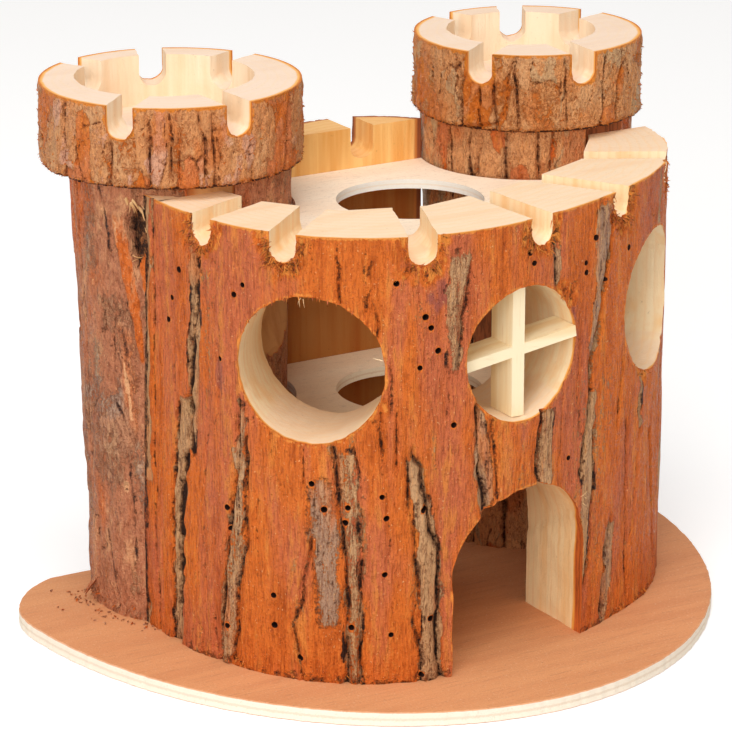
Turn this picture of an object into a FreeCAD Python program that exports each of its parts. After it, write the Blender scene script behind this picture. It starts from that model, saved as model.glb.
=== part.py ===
import FreeCAD, Part
import math
import os

# Small two-storey log house for hamsters, in the shape of a castle.
# Millimetres, +Z up. X runs along the straight back edge of the base board, -Y is the door side.
# The origin is on the underside of the base board, at the middle of its width and depth.

# ---- driving dimensions -------------------------------------------------------------------
# base board: D shaped plywood, straight at the back, half an ellipse at the front
base_width = 198.0
base_depth = 144.0
base_thickness = 4.0
base_nose_depth = 121.0
base_corner_radius = 30.0

# place of the house on the board: midway between the towers, and how far the line through
# their middles lies in front of the board's back edge
house_x = 5.6
tower_setback = 27.5
tower_spacing = 109.4
log_height = 120.0

# front wall: split log hollowed with straight saw cuts
# its outline is a circle with a three-lobed and a two-lobed swell, centred off the tower line
wall_axis_offset_x = -4.2
wall_axis_offset_y = -16.5
wall_radius = 76.8
wall_three_lobe = 5.1
wall_three_lobe_angle = -36.0
wall_two_lobe = 1.3
wall_two_lobe_angle = 52.0
wall_thickness_door = 27.5
wall_thickness_end = 19.5
wall_end_angle = 80.0
cavity_first_angle = -88.0
cavity_facet_angle = 24.0
cavity_facet_count = 7

# battlement: round-bottomed notches across every top edge
notch_width = 7.5
wall_notch_depth = 7.6
wall_notch_angles = (-67.5, -48.0, -22.0, 5.0, 32.0, 60.5)
back_notch_depth = 9.0
back_notch_offsets = (-18.0, 6.7)

# doorway and windows in the front wall; the windows hang a set drop below the wall's top edge
door_offset_x = -2.7
door_width = 45.0
door_height = 48.0
window_drop = 35.3
window_height = log_height - window_drop
left_window_angle = -43.0
right_window_angle = 48.5
side_window_radius = 19.5
cross_window_offset_x = -3.8
cross_window_radius = 18.0

# main furrows of the bark, cut as V-shaped grooves: on the wall (angle at the foot, angle at the
# top, foot and top as shares of the log's height), on the right tower one angle each, full height
furrow_depth = 1.6
furrow_width = 3.0
wall_furrows = (
    (-76.7, -68.6, 0.0, 1.0),
    (-63.0, -57.7, 0.0, 0.6),
    (-44.8, -43.0, 0.0, 0.32),
    (-35.6, -38.4, 0.0, 0.53),
    (-18.4, -23.6, 0.0, 0.52),
    (-8.4, -10.9, 0.36, 0.6),
    (4.6, 5.1, 0.4, 0.57),
    (20.7, 22.7, 0.13, 0.47),
    (20.8, 28.6, 0.64, 1.0),
    (28.4, 30.5, 0.0, 0.23),
    (53.6, 47.8, 0.0, 0.38),
    (66.0, 64.5, 0.0, 1.0),
    (74.5, 74.0, 0.0, 1.0),
)
tower_furrow_angles = (
    -165, -141, -118, -95, -79, -65, -44, -26, 75, 98, 120, 143, 166,
)

# cross of two laths in the middle window
lath_width = 3.7
lath_thickness = 2.9
lath_depth = 10.0
lath_setback = 3.9
crossbar_tilt = 8.0

# towers: whole logs, slimmer at the foot, with a flat seat for the wall ends
# and a shaved scar in the bark where each faces the rooms
tower_radius = 30.0
tower_foot_radius = 27.0
tower_rise = 3.2
seat_depth = 3.5
scar_depth = 5.0
left_scar_angle = 27.0
left_scar_middle = 87.0
left_scar_height = 36.0
right_scar_angle = -41.0
right_scar_middle = 77.0
right_scar_height = 66.0

# crowns: log slices with a bored pocket, glued and nailed on the towers
left_crown_radius = 35.3
right_crown_radius = 32.2
crown_height = 21.4
crown_rim = 11.4
crown_pocket_depth = 14.0
crown_pocket_offset_y = 3.4
crown_notch_depth = 8.6
crown_notch_angles = (-49.0, 0.0, 109.0, 157.5, 204.0)
left_crown_turn = 3.0
right_crown_turn = -3.5
left_crown_shift_x = -2.3
left_crown_shift_y = 1.1

# back wall: slab sawn off a log, flat face to the rooms
slab_face_offset_y = 9.5
slab_thickness = 13.5
slab_rise = 1.0

# plywood floor and roof with one round hole each, one above the other; the roof lies a set drop
# below the wall's top edge
plate_thickness = 2.6
mid_floor_height = 56.0
roof_drop = 10.4
roof_height = log_height - roof_drop
plate_hole_offset_x = 1.0
plate_hole_offset_y = -25.8
plate_hole_radius = 20.0

# brads: headless, cut from flat wire
brad_width = 1.3
brad_length = 24.0

# clearances
glue_gap = 0.1
curved_gap = 0.3
bore_gap = 0.05

# ---- sizes worked out from the ones above -------------------------------------------------
base_front_y = -base_depth / 2
base_back_y = base_depth / 2
tower_y = base_back_y - tower_setback
log_bottom = base_thickness
wall_top = log_bottom + log_height
tower_top = wall_top + tower_rise
crown_top = tower_top + crown_height
slab_top = wall_top + slab_rise
left_tower_x = house_x - tower_spacing / 2
right_tower_x = house_x + tower_spacing / 2
left_crown_x = left_tower_x + left_crown_shift_x
left_crown_y = tower_y + left_crown_shift_y
wall_axis_x = house_x + wall_axis_offset_x
wall_axis_y = tower_y + wall_axis_offset_y
wall_end_y = tower_y - tower_radius + seat_depth
wall_reach = wall_radius + wall_three_lobe + wall_two_lobe
back_face_y = tower_y + slab_face_offset_y
mid_floor_top = log_bottom + mid_floor_height
roof_top = log_bottom + roof_height
window_z = log_bottom + window_height
over = 10.0


# ---- helpers ------------------------------------------------------------------------------
def vec(x, y, z=0.0):
    return FreeCAD.Vector(x, y, z)


def polygon_prism(points, low, high):
    """Upright prism over a closed polygon of (x, y) points."""
    corners = [vec(x, y, low) for x, y in points]
    face = Part.Face(Part.makePolygon(corners + corners[:1]))
    return face.extrude(vec(0, 0, high - low))


def upright(x, y, radius, low, high):
    """Upright cylinder."""
    return Part.makeCylinder(radius, high - low, vec(x, y, low))


def heading(angle):
    """Unit vector in plan: 0 looks to the door side (-Y), positive turns towards +X."""
    return vec(math.sin(math.radians(angle)), -math.cos(math.radians(angle)))


def level_bore(start, direction, radius, length):
    """Level cylinder from a start point along a direction in plan."""
    return Part.makeCylinder(radius, length, start, direction)


def notch_cutter(start, direction, top, depth, length):
    """Round-bottomed slot across a top edge: a level cylinder with a block above it."""
    radius = notch_width / 2
    side = vec(-direction.y, direction.x) * radius
    foot = vec(start.x, start.y, top - depth + radius)
    round_part = level_bore(foot, direction, radius, length)
    a = foot + side
    b = foot - side
    corners = [a, b, b + direction * length, a + direction * length]
    block = Part.Face(Part.makePolygon(corners + corners[:1])).extrude(vec(0, 0, depth + over))
    return round_part.fuse(block)


def only_solid(shape):
    """The single solid of a boolean result."""
    solids = shape.removeSplitter().Solids
    if len(solids) != 1:
        raise ValueError("expected one solid, got %d" % len(solids))
    return solids[0]


def save(name, solids):
    """Write one named piece; a group of like pieces shares one file."""
    shape = solids[0] if len(solids) == 1 else Part.makeCompound(solids)
    if not shape.isValid():
        raise ValueError(name + " is not valid")
    shape.exportStep("parts/" + name + ".step")
    volume = sum(solid.Volume for solid in solids)
    print("%-18s %2d solid %9.0f mm3" % (name, len(solids), volume))


# ---- base board ---------------------------------------------------------------------------
def base_outline():
    """Half ellipse at the front, closed by the straight back edge."""
    half = base_width / 2
    middle_y = base_front_y + base_nose_depth
    ellipse = Part.Ellipse(vec(0, base_front_y), vec(half, middle_y), vec(0, middle_y))
    share = (base_back_y - middle_y) / base_nose_depth
    back_x = half * math.sqrt(1 - share ** 2)
    left = vec(-back_x, base_back_y)
    right = vec(back_x, base_back_y)
    arc = Part.ArcOfEllipse(ellipse, ellipse.parameter(left), ellipse.parameter(right))
    return Part.Wire([arc.toShape(), Part.makeLine(right, left)])


def make_base_plate(brads):
    board = Part.Face(base_outline()).extrude(vec(0, 0, base_thickness))
    corners = []
    for edge in board.Edges:
        upright_edge = edge.BoundBox.ZLength > base_thickness / 2
        if upright_edge and edge.BoundBox.YMin > base_back_y - base_corner_radius:
            corners.append(edge)
    board = board.makeFillet(base_corner_radius, corners)
    return only_solid(board.cut(brad_bores(brads)))


# ---- brads --------------------------------------------------------------------------------
def brad(point, direction, gap=0.0):
    """Square wire from the point along an axis direction; a gap widens and lengthens it."""
    half = brad_width / 2 + gap
    end = point + direction * (brad_length + gap)
    low = vec(min(point.x, end.x), min(point.y, end.y), min(point.z, end.z))
    high = vec(max(point.x, end.x), max(point.y, end.y), max(point.z, end.z))
    across = vec(half, half, half) - vec(abs(direction.x), abs(direction.y), abs(direction.z)) * half
    low = low - across
    size = high + across - low
    return Part.makeBox(size.x, size.y, size.z, low)


def brad_bores(places):
    """The holes that the brads fill, with a little clearance."""
    return Part.makeCompound([brad(point, direction, bore_gap) for point, direction in places])


def base_brad_places():
    """Up through the board: two in each tower, three in the front wall, two in the slab."""
    places = []
    step = tower_foot_radius / 2
    for x in (left_tower_x, right_tower_x):
        places += [(x, tower_y - step), (x, tower_y + step)]
    middle = wall_thickness_door / 2
    for angle in (-58.0, -30.0, 46.0):
        spot = wall_point(angle, middle)
        places.append((spot.x, spot.y))
    for x in (house_x - step, house_x + step):
        places.append((x, back_face_y + slab_thickness / 3))
    return [(vec(x, y, 0), vec(0, 0, 1)) for x, y in places]


def end_brad_places():
    """Out of each wall end into the tower behind it, one low and one high."""
    places = []
    for side, tower_x in ((-1, left_tower_x), (1, right_tower_x)):
        x = tower_x + side * tower_radius / 4
        for z in (log_bottom + log_height / 5, wall_top - log_height / 5):
            places.append((vec(x, wall_end_y - brad_length / 2, z), vec(0, 1, 0)))
    return places


def crown_brad_places():
    """Down through each pocket floor into the tower top."""
    places = []
    head_z = crown_top - crown_pocket_depth
    for x in (left_tower_x, right_tower_x):
        for side in (-1, 1):
            spot = vec(x + side * tower_radius / 3, tower_y, head_z)
            places.append((spot, vec(0, 0, -1)))
    return places


# ---- front wall ---------------------------------------------------------------------------
def wall_point(angle, depth=0.0):
    """Point of the log's outline at an angle in plan, moved inwards by a depth."""
    three = wall_three_lobe * math.cos(math.radians(3 * (angle - wall_three_lobe_angle)))
    two = wall_two_lobe * math.cos(math.radians(2 * (angle - wall_two_lobe_angle)))
    return vec(wall_axis_x, wall_axis_y) + heading(angle) * (wall_radius + three + two - depth)


def wall_thickness(angle):
    """Thickness left by the saw: thickest at the door, thinner towards the ends."""
    share = (angle / wall_end_angle) ** 2
    return wall_thickness_door - (wall_thickness_door - wall_thickness_end) * share


def cavity_corners():
    """Corners of the saw cuts, from the left end to the right end."""
    corners = []
    for step in range(cavity_facet_count + 1):
        angle = cavity_first_angle + step * cavity_facet_angle
        corners.append(wall_point(angle, wall_thickness(angle)))
    return corners


def cavity_polygon(gap=0.0):
    """Plan of the hollow, closed behind the wall ends; a gap makes it smaller all round."""
    front = [(p.x, p.y) for p in cavity_corners()]
    back_y = wall_end_y + wall_radius
    points = front + [(front[-1][0], back_y), (front[0][0], back_y)]
    if gap == 0:
        return points
    corners = [vec(x, y) for x, y in points]
    wire = Part.makePolygon(corners + corners[:1])
    inner = wire.makeOffset2D(-gap, 2)
    return [(v.X, v.Y) for v in inner.OrderedVertexes]


def make_log_shell():
    """The log's outline as one smooth closed curve, cut to its front half and hollowed."""
    ring = [wall_point(angle) for angle in range(-180, 180, 15)]
    curve = Part.BSplineCurve()
    curve.interpolate(ring, PeriodicFlag=True)
    face = Part.Face(Part.Wire(curve.toShape()))
    log = face.extrude(vec(0, 0, log_height))
    log.translate(vec(0, 0, log_bottom))
    reach = 2 * wall_radius
    behind = Part.makeBox(2 * reach, reach, log_height, vec(-reach, wall_end_y, log_bottom))
    hollow = polygon_prism(cavity_polygon(), log_bottom, wall_top)
    return log.cut(behind).cut(hollow)


def door_cutter():
    """Round-headed doorway through the wall."""
    radius = door_width / 2
    door_x = house_x + door_offset_x
    start_y = wall_axis_y - wall_reach - over
    length = wall_axis_y - start_y
    spring_z = log_bottom + door_height - radius
    head = level_bore(vec(door_x, start_y, spring_z), vec(0, 1, 0), radius, length)
    corner = vec(door_x - radius, start_y, log_bottom - over)
    slot = Part.makeBox(door_width, length, spring_z - corner.z, corner)
    return head.fuse(slot)


def window_cutters():
    """One round hole at each side, aimed at the log's axis, and one straight through the front."""
    length = wall_reach + over
    cutters = []
    for angle in (left_window_angle, right_window_angle):
        inner = vec(wall_axis_x, wall_axis_y, window_z) + heading(angle) * over
        cutters.append(level_bore(inner, heading(angle), side_window_radius, length))
    middle = vec(house_x + cross_window_offset_x, wall_axis_y, window_z)
    cutters.append(level_bore(middle, heading(0), cross_window_radius, length))
    return cutters


def wall_notches():
    cutters = []
    for angle in wall_notch_angles:
        start = vec(wall_axis_x, wall_axis_y) + heading(angle) * over
        cutters.append(notch_cutter(start, heading(angle), wall_top, wall_notch_depth, wall_reach))
    return cutters


def furrow_cutter(foot, top, out):
    """V-shaped groove in the bark between two points of a log's surface, opening outwards."""
    side = vec(-out.y, out.x) * furrow_width
    deepest = foot - out * furrow_depth
    mouth = foot + out * furrow_depth
    corners = [deepest, mouth - side, mouth + side, deepest]
    return Part.Face(Part.makePolygon(corners)).extrude(top - foot)


def wall_furrow_cutters():
    cutters = []
    for foot_angle, top_angle, low, high in wall_furrows:
        foot = wall_point(foot_angle) + vec(0, 0, log_bottom + low * log_height)
        top = wall_point(top_angle) + vec(0, 0, log_bottom + high * log_height)
        cutters.append(furrow_cutter(foot, top, heading((foot_angle + top_angle) / 2)))
    return cutters


def make_front_wall(brads):
    cutters = [door_cutter()] + window_cutters() + wall_notches() + wall_furrow_cutters()
    wall = make_log_shell().cut(cutters)
    return only_solid(wall.cut(brad_bores(brads)))


# ---- towers -------------------------------------------------------------------------------
def tower_blank(x):
    height = tower_top - log_bottom
    return Part.makeCone(tower_foot_radius, tower_radius, height, vec(x, tower_y, log_bottom))


def seat_cutter(x, side):
    """Flat on the outer half of the tower's front, where the wall end is glued and nailed."""
    width = 2 * tower_radius
    corner = vec(x + (side - 1) * width / 2, wall_end_y - width, log_bottom - over)
    return Part.makeBox(width, width, tower_top + 2 * over, corner)


def scar_cutter(x, angle, middle, height):
    """Shallow hollow drawn by a knife: a level cylinder across the side that faces the rooms."""
    out = heading(angle)
    side = vec(-out.y, out.x)
    radius = (height ** 2 / 4 + scar_depth ** 2) / (2 * scar_depth)
    deepest = vec(x, tower_y, log_bottom + middle) + out * (tower_radius - scar_depth)
    start = deepest + out * radius - side * 2 * tower_radius
    return level_bore(start, side, radius, 4 * tower_radius)


def tower_furrow_cutters(x):
    cutters = []
    for angle in tower_furrow_angles:
        foot = vec(x, tower_y, log_bottom) + heading(angle) * tower_foot_radius
        top = vec(x, tower_y, tower_top) + heading(angle) * tower_radius
        cutters.append(furrow_cutter(foot, top, heading(angle)))
    return cutters


def make_tower(x, side, scar, furrows, brads):
    tower = tower_blank(x).cut([seat_cutter(x, side), scar] + furrows)
    return only_solid(tower.cut(brad_bores(brads)))


# ---- crowns -------------------------------------------------------------------------------
def make_crown(x, y, radius, turn, brads):
    crown = upright(x, y, radius, tower_top, crown_top)
    pocket_floor = crown_top - crown_pocket_depth
    pocket_y = y + crown_pocket_offset_y
    pocket_radius = radius - crown_rim
    cutters = [upright(x, pocket_y, pocket_radius, pocket_floor, crown_top + over)]
    for angle in crown_notch_angles:
        out = heading(angle + turn)
        start = vec(x, pocket_y) + out * (pocket_radius - notch_width)
        cutters.append(notch_cutter(start, out, crown_top, crown_notch_depth, radius))
    return only_solid(crown.cut(cutters).cut(brad_bores(brads)))


# ---- back wall ----------------------------------------------------------------------------
def slab_edges():
    """Where the slab's flat face meets the two towers."""
    reach = tower_radius + curved_gap
    half_chord = math.sqrt(reach ** 2 - (back_face_y - tower_y) ** 2)
    return left_tower_x + half_chord, right_tower_x - half_chord


def make_back_wall(brads):
    left, right = slab_edges()
    a = vec(left, back_face_y, log_bottom)
    b = vec((left + right) / 2, back_face_y + slab_thickness, log_bottom)
    c = vec(right, back_face_y, log_bottom)
    outline = Part.Wire([Part.Arc(a, b, c).toShape(), Part.makeLine(c, a)])
    slab = Part.Face(outline).extrude(vec(0, 0, slab_top - log_bottom))
    cutters = []
    for offset in back_notch_offsets:
        start = vec(house_x + offset, back_face_y - over)
        length = slab_thickness + 2 * over
        cutters.append(notch_cutter(start, vec(0, 1), slab_top, back_notch_depth, length))
    return only_solid(slab.cut(cutters).cut(brad_bores(brads)))


# ---- floor and roof plates ----------------------------------------------------------------
def make_plate(top):
    """Plywood plate that fills the hollow between wall, towers and slab, with its round hole."""
    low = top - plate_thickness
    plate = polygon_prism(cavity_polygon(glue_gap), low, top)
    back_y = back_face_y - glue_gap
    reach = 2 * wall_radius
    behind = Part.makeBox(2 * reach, reach, base_depth, vec(-reach, back_y, 0))
    hole_x = house_x + plate_hole_offset_x
    hole_y = tower_y + plate_hole_offset_y
    cutters = [behind, upright(hole_x, hole_y, plate_hole_radius, low - over, top + over)]
    for x in (left_tower_x, right_tower_x):
        cutters.append(upright(x, tower_y, tower_radius + curved_gap, low - over, top + over))
    pieces = plate.cut(cutters).removeSplitter().Solids
    pieces.sort(key=lambda solid: solid.Volume)
    return pieces[-1]


# ---- cross in the middle window -----------------------------------------------------------
def lath_blank(width, length):
    """Lath as long as the window is wide, centred on the window's middle, running along Z."""
    corner = vec(-width / 2, 0, -length / 2)
    return Part.makeBox(width, lath_depth, length, corner)


def place_lath(shape):
    """Move a lath into the window, a little behind the bark."""
    front_y = wall_point(0).y + lath_setback
    shape.translate(vec(house_x + cross_window_offset_x, front_y, window_z))
    return shape


def lath_length(width):
    """Length at which the lath's corners just clear the round hole."""
    return 2 * (math.sqrt(cross_window_radius ** 2 - (width / 2) ** 2) - glue_gap)


def make_window_cross():
    """Two laths halved into each other: the upright shows in front, the crossbar lies behind."""
    upright_lath = lath_blank(lath_width, lath_length(lath_width))
    crossbar = lath_blank(lath_thickness, lath_length(lath_thickness))
    crossbar.rotate(vec(0, 0, 0), vec(0, 1, 0), 90 - crossbar_tilt)
    half = lath_depth / 2
    reach = 2 * cross_window_radius
    front_half = Part.makeBox(2 * reach, half, 2 * reach, vec(-reach, 0, -reach))
    back_half = Part.makeBox(2 * reach, half, 2 * reach, vec(-reach, half, -reach))
    upright_cut = upright_lath.cut(crossbar.common(back_half))
    crossbar_cut = crossbar.cut(upright_lath.common(front_half))
    return only_solid(place_lath(upright_cut)), only_solid(place_lath(crossbar_cut))


# ---- build --------------------------------------------------------------------------------
os.makedirs("parts", exist_ok=True)

base_brads = base_brad_places()
end_brads = end_brad_places()
crown_brads = crown_brad_places()
all_brads = base_brads + end_brads + crown_brads
left_scar = scar_cutter(left_tower_x, left_scar_angle, left_scar_middle, left_scar_height)
right_scar = scar_cutter(right_tower_x, right_scar_angle, right_scar_middle, right_scar_height)
left_crown = make_crown(left_crown_x, left_crown_y, left_crown_radius, left_crown_turn, crown_brads)
right_crown = make_crown(right_tower_x, tower_y, right_crown_radius, right_crown_turn, crown_brads)
upright_lath, crossbar_lath = make_window_cross()

save("base_plate", [make_base_plate(base_brads)])
save("front_wall", [make_front_wall(base_brads + end_brads)])
save("back_wall", [make_back_wall(base_brads)])
right_furrows = tower_furrow_cutters(right_tower_x)
save("left_tower", [make_tower(left_tower_x, -1, left_scar, [], all_brads)])
save("right_tower", [make_tower(right_tower_x, 1, right_scar, right_furrows, all_brads)])
save("left_crown", [left_crown])
save("right_crown", [right_crown])
save("mid_floor", [make_plate(mid_floor_top)])
save("roof_plate", [make_plate(roof_top)])
save("window_upright", [upright_lath])
save("window_crossbar", [crossbar_lath])
save("base_brads", [brad(*place) for place in base_brads])
save("end_brads", [brad(*place) for place in end_brads])
save("crown_brads", [brad(*place) for place in crown_brads])
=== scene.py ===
import bmesh
import bpy
import numpy as np
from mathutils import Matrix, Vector


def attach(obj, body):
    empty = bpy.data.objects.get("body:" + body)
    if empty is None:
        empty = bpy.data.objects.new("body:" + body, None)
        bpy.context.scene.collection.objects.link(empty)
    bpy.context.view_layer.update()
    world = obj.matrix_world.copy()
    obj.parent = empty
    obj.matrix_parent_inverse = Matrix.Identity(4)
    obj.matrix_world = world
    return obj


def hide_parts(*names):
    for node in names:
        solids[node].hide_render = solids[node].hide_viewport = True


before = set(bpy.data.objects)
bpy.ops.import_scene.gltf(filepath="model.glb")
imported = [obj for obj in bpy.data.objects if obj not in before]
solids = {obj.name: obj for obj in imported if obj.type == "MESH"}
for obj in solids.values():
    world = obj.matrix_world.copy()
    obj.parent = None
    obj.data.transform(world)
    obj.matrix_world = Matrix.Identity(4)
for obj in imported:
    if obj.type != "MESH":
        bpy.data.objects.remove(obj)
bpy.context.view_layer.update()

# Lengths and places are written in millimetres and become metres when a mesh is made.
# Angles in plan are degrees: 0 looks to the door side, -Y, and positive turns towards +X.


# ---- camera -------------------------------------------------------------------------------
# A long lens in front of the left tower, a little above the crowns, looking down at the
# middle of the house.
lens = bpy.data.cameras.new("view")
lens.sensor_width = 36.0
lens.lens = 179.03
camera = bpy.data.objects.new("view", lens)
camera.location = (-0.4828, -0.7887, 0.3753)
aim = Vector((0.0388, 0.0968, 0.0389)) - camera.location
camera.rotation_euler = aim.to_track_quat("-Z", "Y").to_euler()
bpy.context.scene.collection.objects.link(camera)
bpy.context.scene.camera = camera


# ---- studio floor and light ---------------------------------------------------------------
# A white table under a large soft box, with a second box in front on the left and an even
# pale room around it. None of it belongs to the house.
def tint(red, green, blue):
    """Screen colour 0 to 255 to linear light: ((c + 0.055) / 1.055) to the power 2.4."""
    screen = np.array([red, green, blue]) / 255
    linear = np.where(screen < 0.04045, screen / 12.92, ((screen + 0.055) / 1.055) ** 2.4)
    return (*[float(value) for value in linear], 1.0)


def feed(tree, socket, value):
    """Gives an input a value, or links another node's output to it."""
    if isinstance(value, bpy.types.NodeSocket):
        tree.links.new(value, socket)
    else:
        socket.default_value = value


def put(tree, kind, options=None, **sockets):
    """Adds a node, sets its options and feeds each named input."""
    made = tree.nodes.new("ShaderNode" + kind)
    for name, value in (options or {}).items():
        setattr(made, name, value)
    for name, value in sockets.items():
        feed(tree, made.inputs[name.replace("_", " ")], value)
    return made


def calc(tree, operation, *values):
    """One step of arithmetic on node outputs or numbers."""
    made = tree.nodes.new("ShaderNodeMath")
    made.operation = operation
    for socket, value in zip(made.inputs, values):
        feed(tree, socket, value)
    return made.outputs[0]


def seen_directly(tree):
    """1 for rays from the camera and for those that shiny or clear things send on, else 0."""
    rays = put(tree, "LightPath").outputs
    seen = calc(tree, "MAXIMUM", rays["Is Camera Ray"], rays["Is Glossy Ray"])
    return calc(tree, "MAXIMUM", seen, rays["Is Transmission Ray"])


def new_material(name):
    """An empty material and its node tree."""
    made = bpy.data.materials.new(name)
    made.use_nodes = True
    made.node_tree.nodes.clear()
    return made, made.node_tree


def box_light(name, place, target, size, watts):
    """A square area lamp at a place in metres, turned to its target."""
    lamp = bpy.data.lights.new(name, "AREA")
    lamp.size = size
    lamp.energy = watts
    holder = bpy.data.objects.new(name, lamp)
    holder.location = place
    holder.rotation_euler = (Vector(target) - Vector(place)).to_track_quat("-Z", "Y").to_euler()
    bpy.context.scene.collection.objects.link(holder)


bpy.context.scene.view_settings.view_transform = "Standard"
table_cloth, tree = new_material("table_white")
surface = put(tree, "BsdfPrincipled", Base_Color=tint(236, 235, 234), Roughness=0.9)
dust = put(tree, "TexNoise", Scale=900.0, Detail=2.0)
tree.links.new(dust.outputs["Fac"], put(tree, "Bump", Strength=0.02).inputs["Height"])
white = put(tree, "Emission", Color=(1.0, 1.0, 1.0, 1.0), Strength=1.0)
share = calc(tree, "MULTIPLY", seen_directly(tree), 0.34)
both = put(tree, "AddShader")
lit = put(tree, "MixShader", Fac=share)
tree.links.new(surface.outputs[0], both.inputs[0])
tree.links.new(lit.outputs[0], both.inputs[1])
tree.links.new(white.outputs[0], lit.inputs[2])
tree.links.new(both.outputs[0], put(tree, "OutputMaterial").inputs["Surface"])

floor_mesh = bpy.data.meshes.new("table")
floor_mesh.from_pydata([(-4, -4, 0), (4, -4, 0), (4, 4, 0), (-4, 4, 0)], [], [(0, 1, 2, 3)])
floor = bpy.data.objects.new("table", floor_mesh)
floor_mesh.materials.append(table_cloth)
bpy.context.scene.collection.objects.link(floor)

room = bpy.data.worlds.new("room")
room.use_nodes = True
tree = room.node_tree
tree.nodes.clear()
strength = calc(tree, "ADD", calc(tree, "MULTIPLY", seen_directly(tree), 0.54), 0.46)
air = put(tree, "Background", Color=(1.0, 0.985, 0.965, 1.0), Strength=strength)
tree.links.new(air.outputs[0], put(tree, "OutputWorld").inputs["Surface"])
bpy.context.scene.world = room
box_light("soft_box_top", (-0.25, -0.35, 1.2), (0, 0, 0.05), 0.8, 8.0)
box_light("soft_box_front", (-0.95, -0.95, 0.6), (0, 0, 0.07), 0.7, 10.0)


# ---- base board ---------------------------------------------------------------------------
# Thin plywood sawn to a D with a band saw: orange-tan face veneer with fine pores, a paler
# cut edge that shows the layers, its corners just broken with sandpaper.
def ripple(u, v, size_u, size_v, seed, around=0.0):
    """Smooth random waves from -1 to 1: random numbers on a lattice, blended by 3t^2 - 2t^3 in
    both directions; around is the length after which u repeats."""
    table = np.random.default_rng(seed).random((1024, 256))
    columns = max(int(round(around / size_u)), 1) if around else 1024
    a = u / (around / columns if around else size_u)
    b = v / size_v + 100.0
    i = np.floor(a).astype(int)
    j = np.floor(b).astype(int)
    f = (a - i) ** 2 * (3 - 2 * (a - i))
    g = (b - j) ** 2 * (3 - 2 * (b - j))
    near = table[i % columns, j % 256] * (1 - f) + table[(i + 1) % columns, j % 256] * f
    far = table[i % columns, (j + 1) % 256] * (1 - f) + table[(i + 1) % columns, (j + 1) % 256] * f
    return 2 * (near * (1 - g) + far * g) - 1


def build_mesh(name, places, quads, caps, layers=None):
    """Mesh from places in mm, four-cornered faces and caps given as lists of place numbers, its
    faces turned outwards. Layers become attributes, one number for each place."""
    places = np.asarray(places, dtype=float).reshape(-1, 3)
    lengths = np.concatenate([np.full(len(quads), 4), [len(cap) for cap in caps]]).astype(int)
    corners = np.concatenate([np.ravel(quads)] + [np.asarray(cap) for cap in caps]).astype(int)
    mesh = bpy.data.meshes.new(name)
    mesh.vertices.add(len(places))
    mesh.vertices.foreach_set("co", (places * 0.001).ravel())
    mesh.loops.add(len(corners))
    mesh.loops.foreach_set("vertex_index", corners)
    mesh.polygons.add(len(lengths))
    mesh.polygons.foreach_set("loop_start", np.cumsum(lengths) - lengths)
    mesh.polygons.foreach_set("use_smooth", np.ones(len(lengths), bool))
    for layer, values in (layers or {}).items():
        made = mesh.attributes.new(layer, "FLOAT", "POINT")
        made.data.foreach_set("value", np.asarray(values, dtype=float).ravel())
    mesh.update(calc_edges=True)
    faces = bmesh.new()
    faces.from_mesh(mesh)
    bmesh.ops.recalc_face_normals(faces, faces=faces.faces)
    faces.to_mesh(mesh)
    faces.free()
    return mesh


def grid_mesh(name, points, around="rows", layers=None):
    """Closed mesh over a grid of places, rows by columns: one quad per cell, joined up round its
    rows or its columns, and one face over each open end."""
    number = np.arange(points.shape[0] * points.shape[1]).reshape(points.shape[:2])
    if around == "rows":
        a = np.concatenate([number, number[:1]])
        caps = [number[:, 0], number[:, -1]]
    else:
        a = np.concatenate([number, number[:, :1]], axis=1)
        caps = [number[0], number[-1]]
    quads = np.stack([a[:-1, :-1], a[1:, :-1], a[1:, 1:], a[:-1, 1:]], -1).reshape(-1, 4)
    return build_mesh(name, points, quads, caps, layers)


def show(name, mesh, materials, replaced=(), crease=40.0):
    """Puts a finished mesh in the scene as one piece of the house."""
    for material in materials:
        mesh.materials.append(material)
    mesh.set_sharp_from_angle(angle=np.radians(crease))
    piece = bpy.data.objects.new(name, mesh)
    bpy.context.scene.collection.objects.link(piece)
    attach(piece, "root")
    if replaced:
        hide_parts(*replaced)
    return piece


def new_group(name, inputs, outputs):
    """A shader node group with float, colour or vector inputs and outputs."""
    group = bpy.data.node_groups.new(name, "ShaderNodeTree")
    kinds = {"f": "NodeSocketFloat", "c": "NodeSocketColor", "v": "NodeSocketVector"}
    for label, kind in inputs:
        group.interface.new_socket(name=label, in_out="INPUT", socket_type=kinds[kind])
    for label, kind in outputs:
        group.interface.new_socket(name=label, in_out="OUTPUT", socket_type=kinds[kind])
    return group, group.nodes.new("NodeGroupInput").outputs, group.nodes.new("NodeGroupOutput").inputs


def use(tree, group, **sockets):
    """Places a node group and returns its outputs."""
    made = tree.nodes.new("ShaderNodeGroup")
    made.node_tree = group
    for name, value in sockets.items():
        feed(tree, made.inputs[name.replace("_", " ")], value)
    return made.outputs


def mixed(tree, share, first, second, mode="MIX"):
    """Colour mix: first at share 0, second at share 1."""
    made = put(tree, "Mix", {"data_type": "RGBA", "blend_type": mode})
    for index, value in ((0, share), (6, first), (7, second)):
        feed(tree, made.inputs[index], value)
    return made.outputs[2]


def rise(tree, value, low, high, top=1.0):
    """Smooth step from 0 at low to top at high."""
    made = put(tree, "MapRange", {"interpolation_type": "SMOOTHSTEP"},
               Value=value, From_Min=low, From_Max=high, To_Max=top)
    return made.outputs[0]


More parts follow.
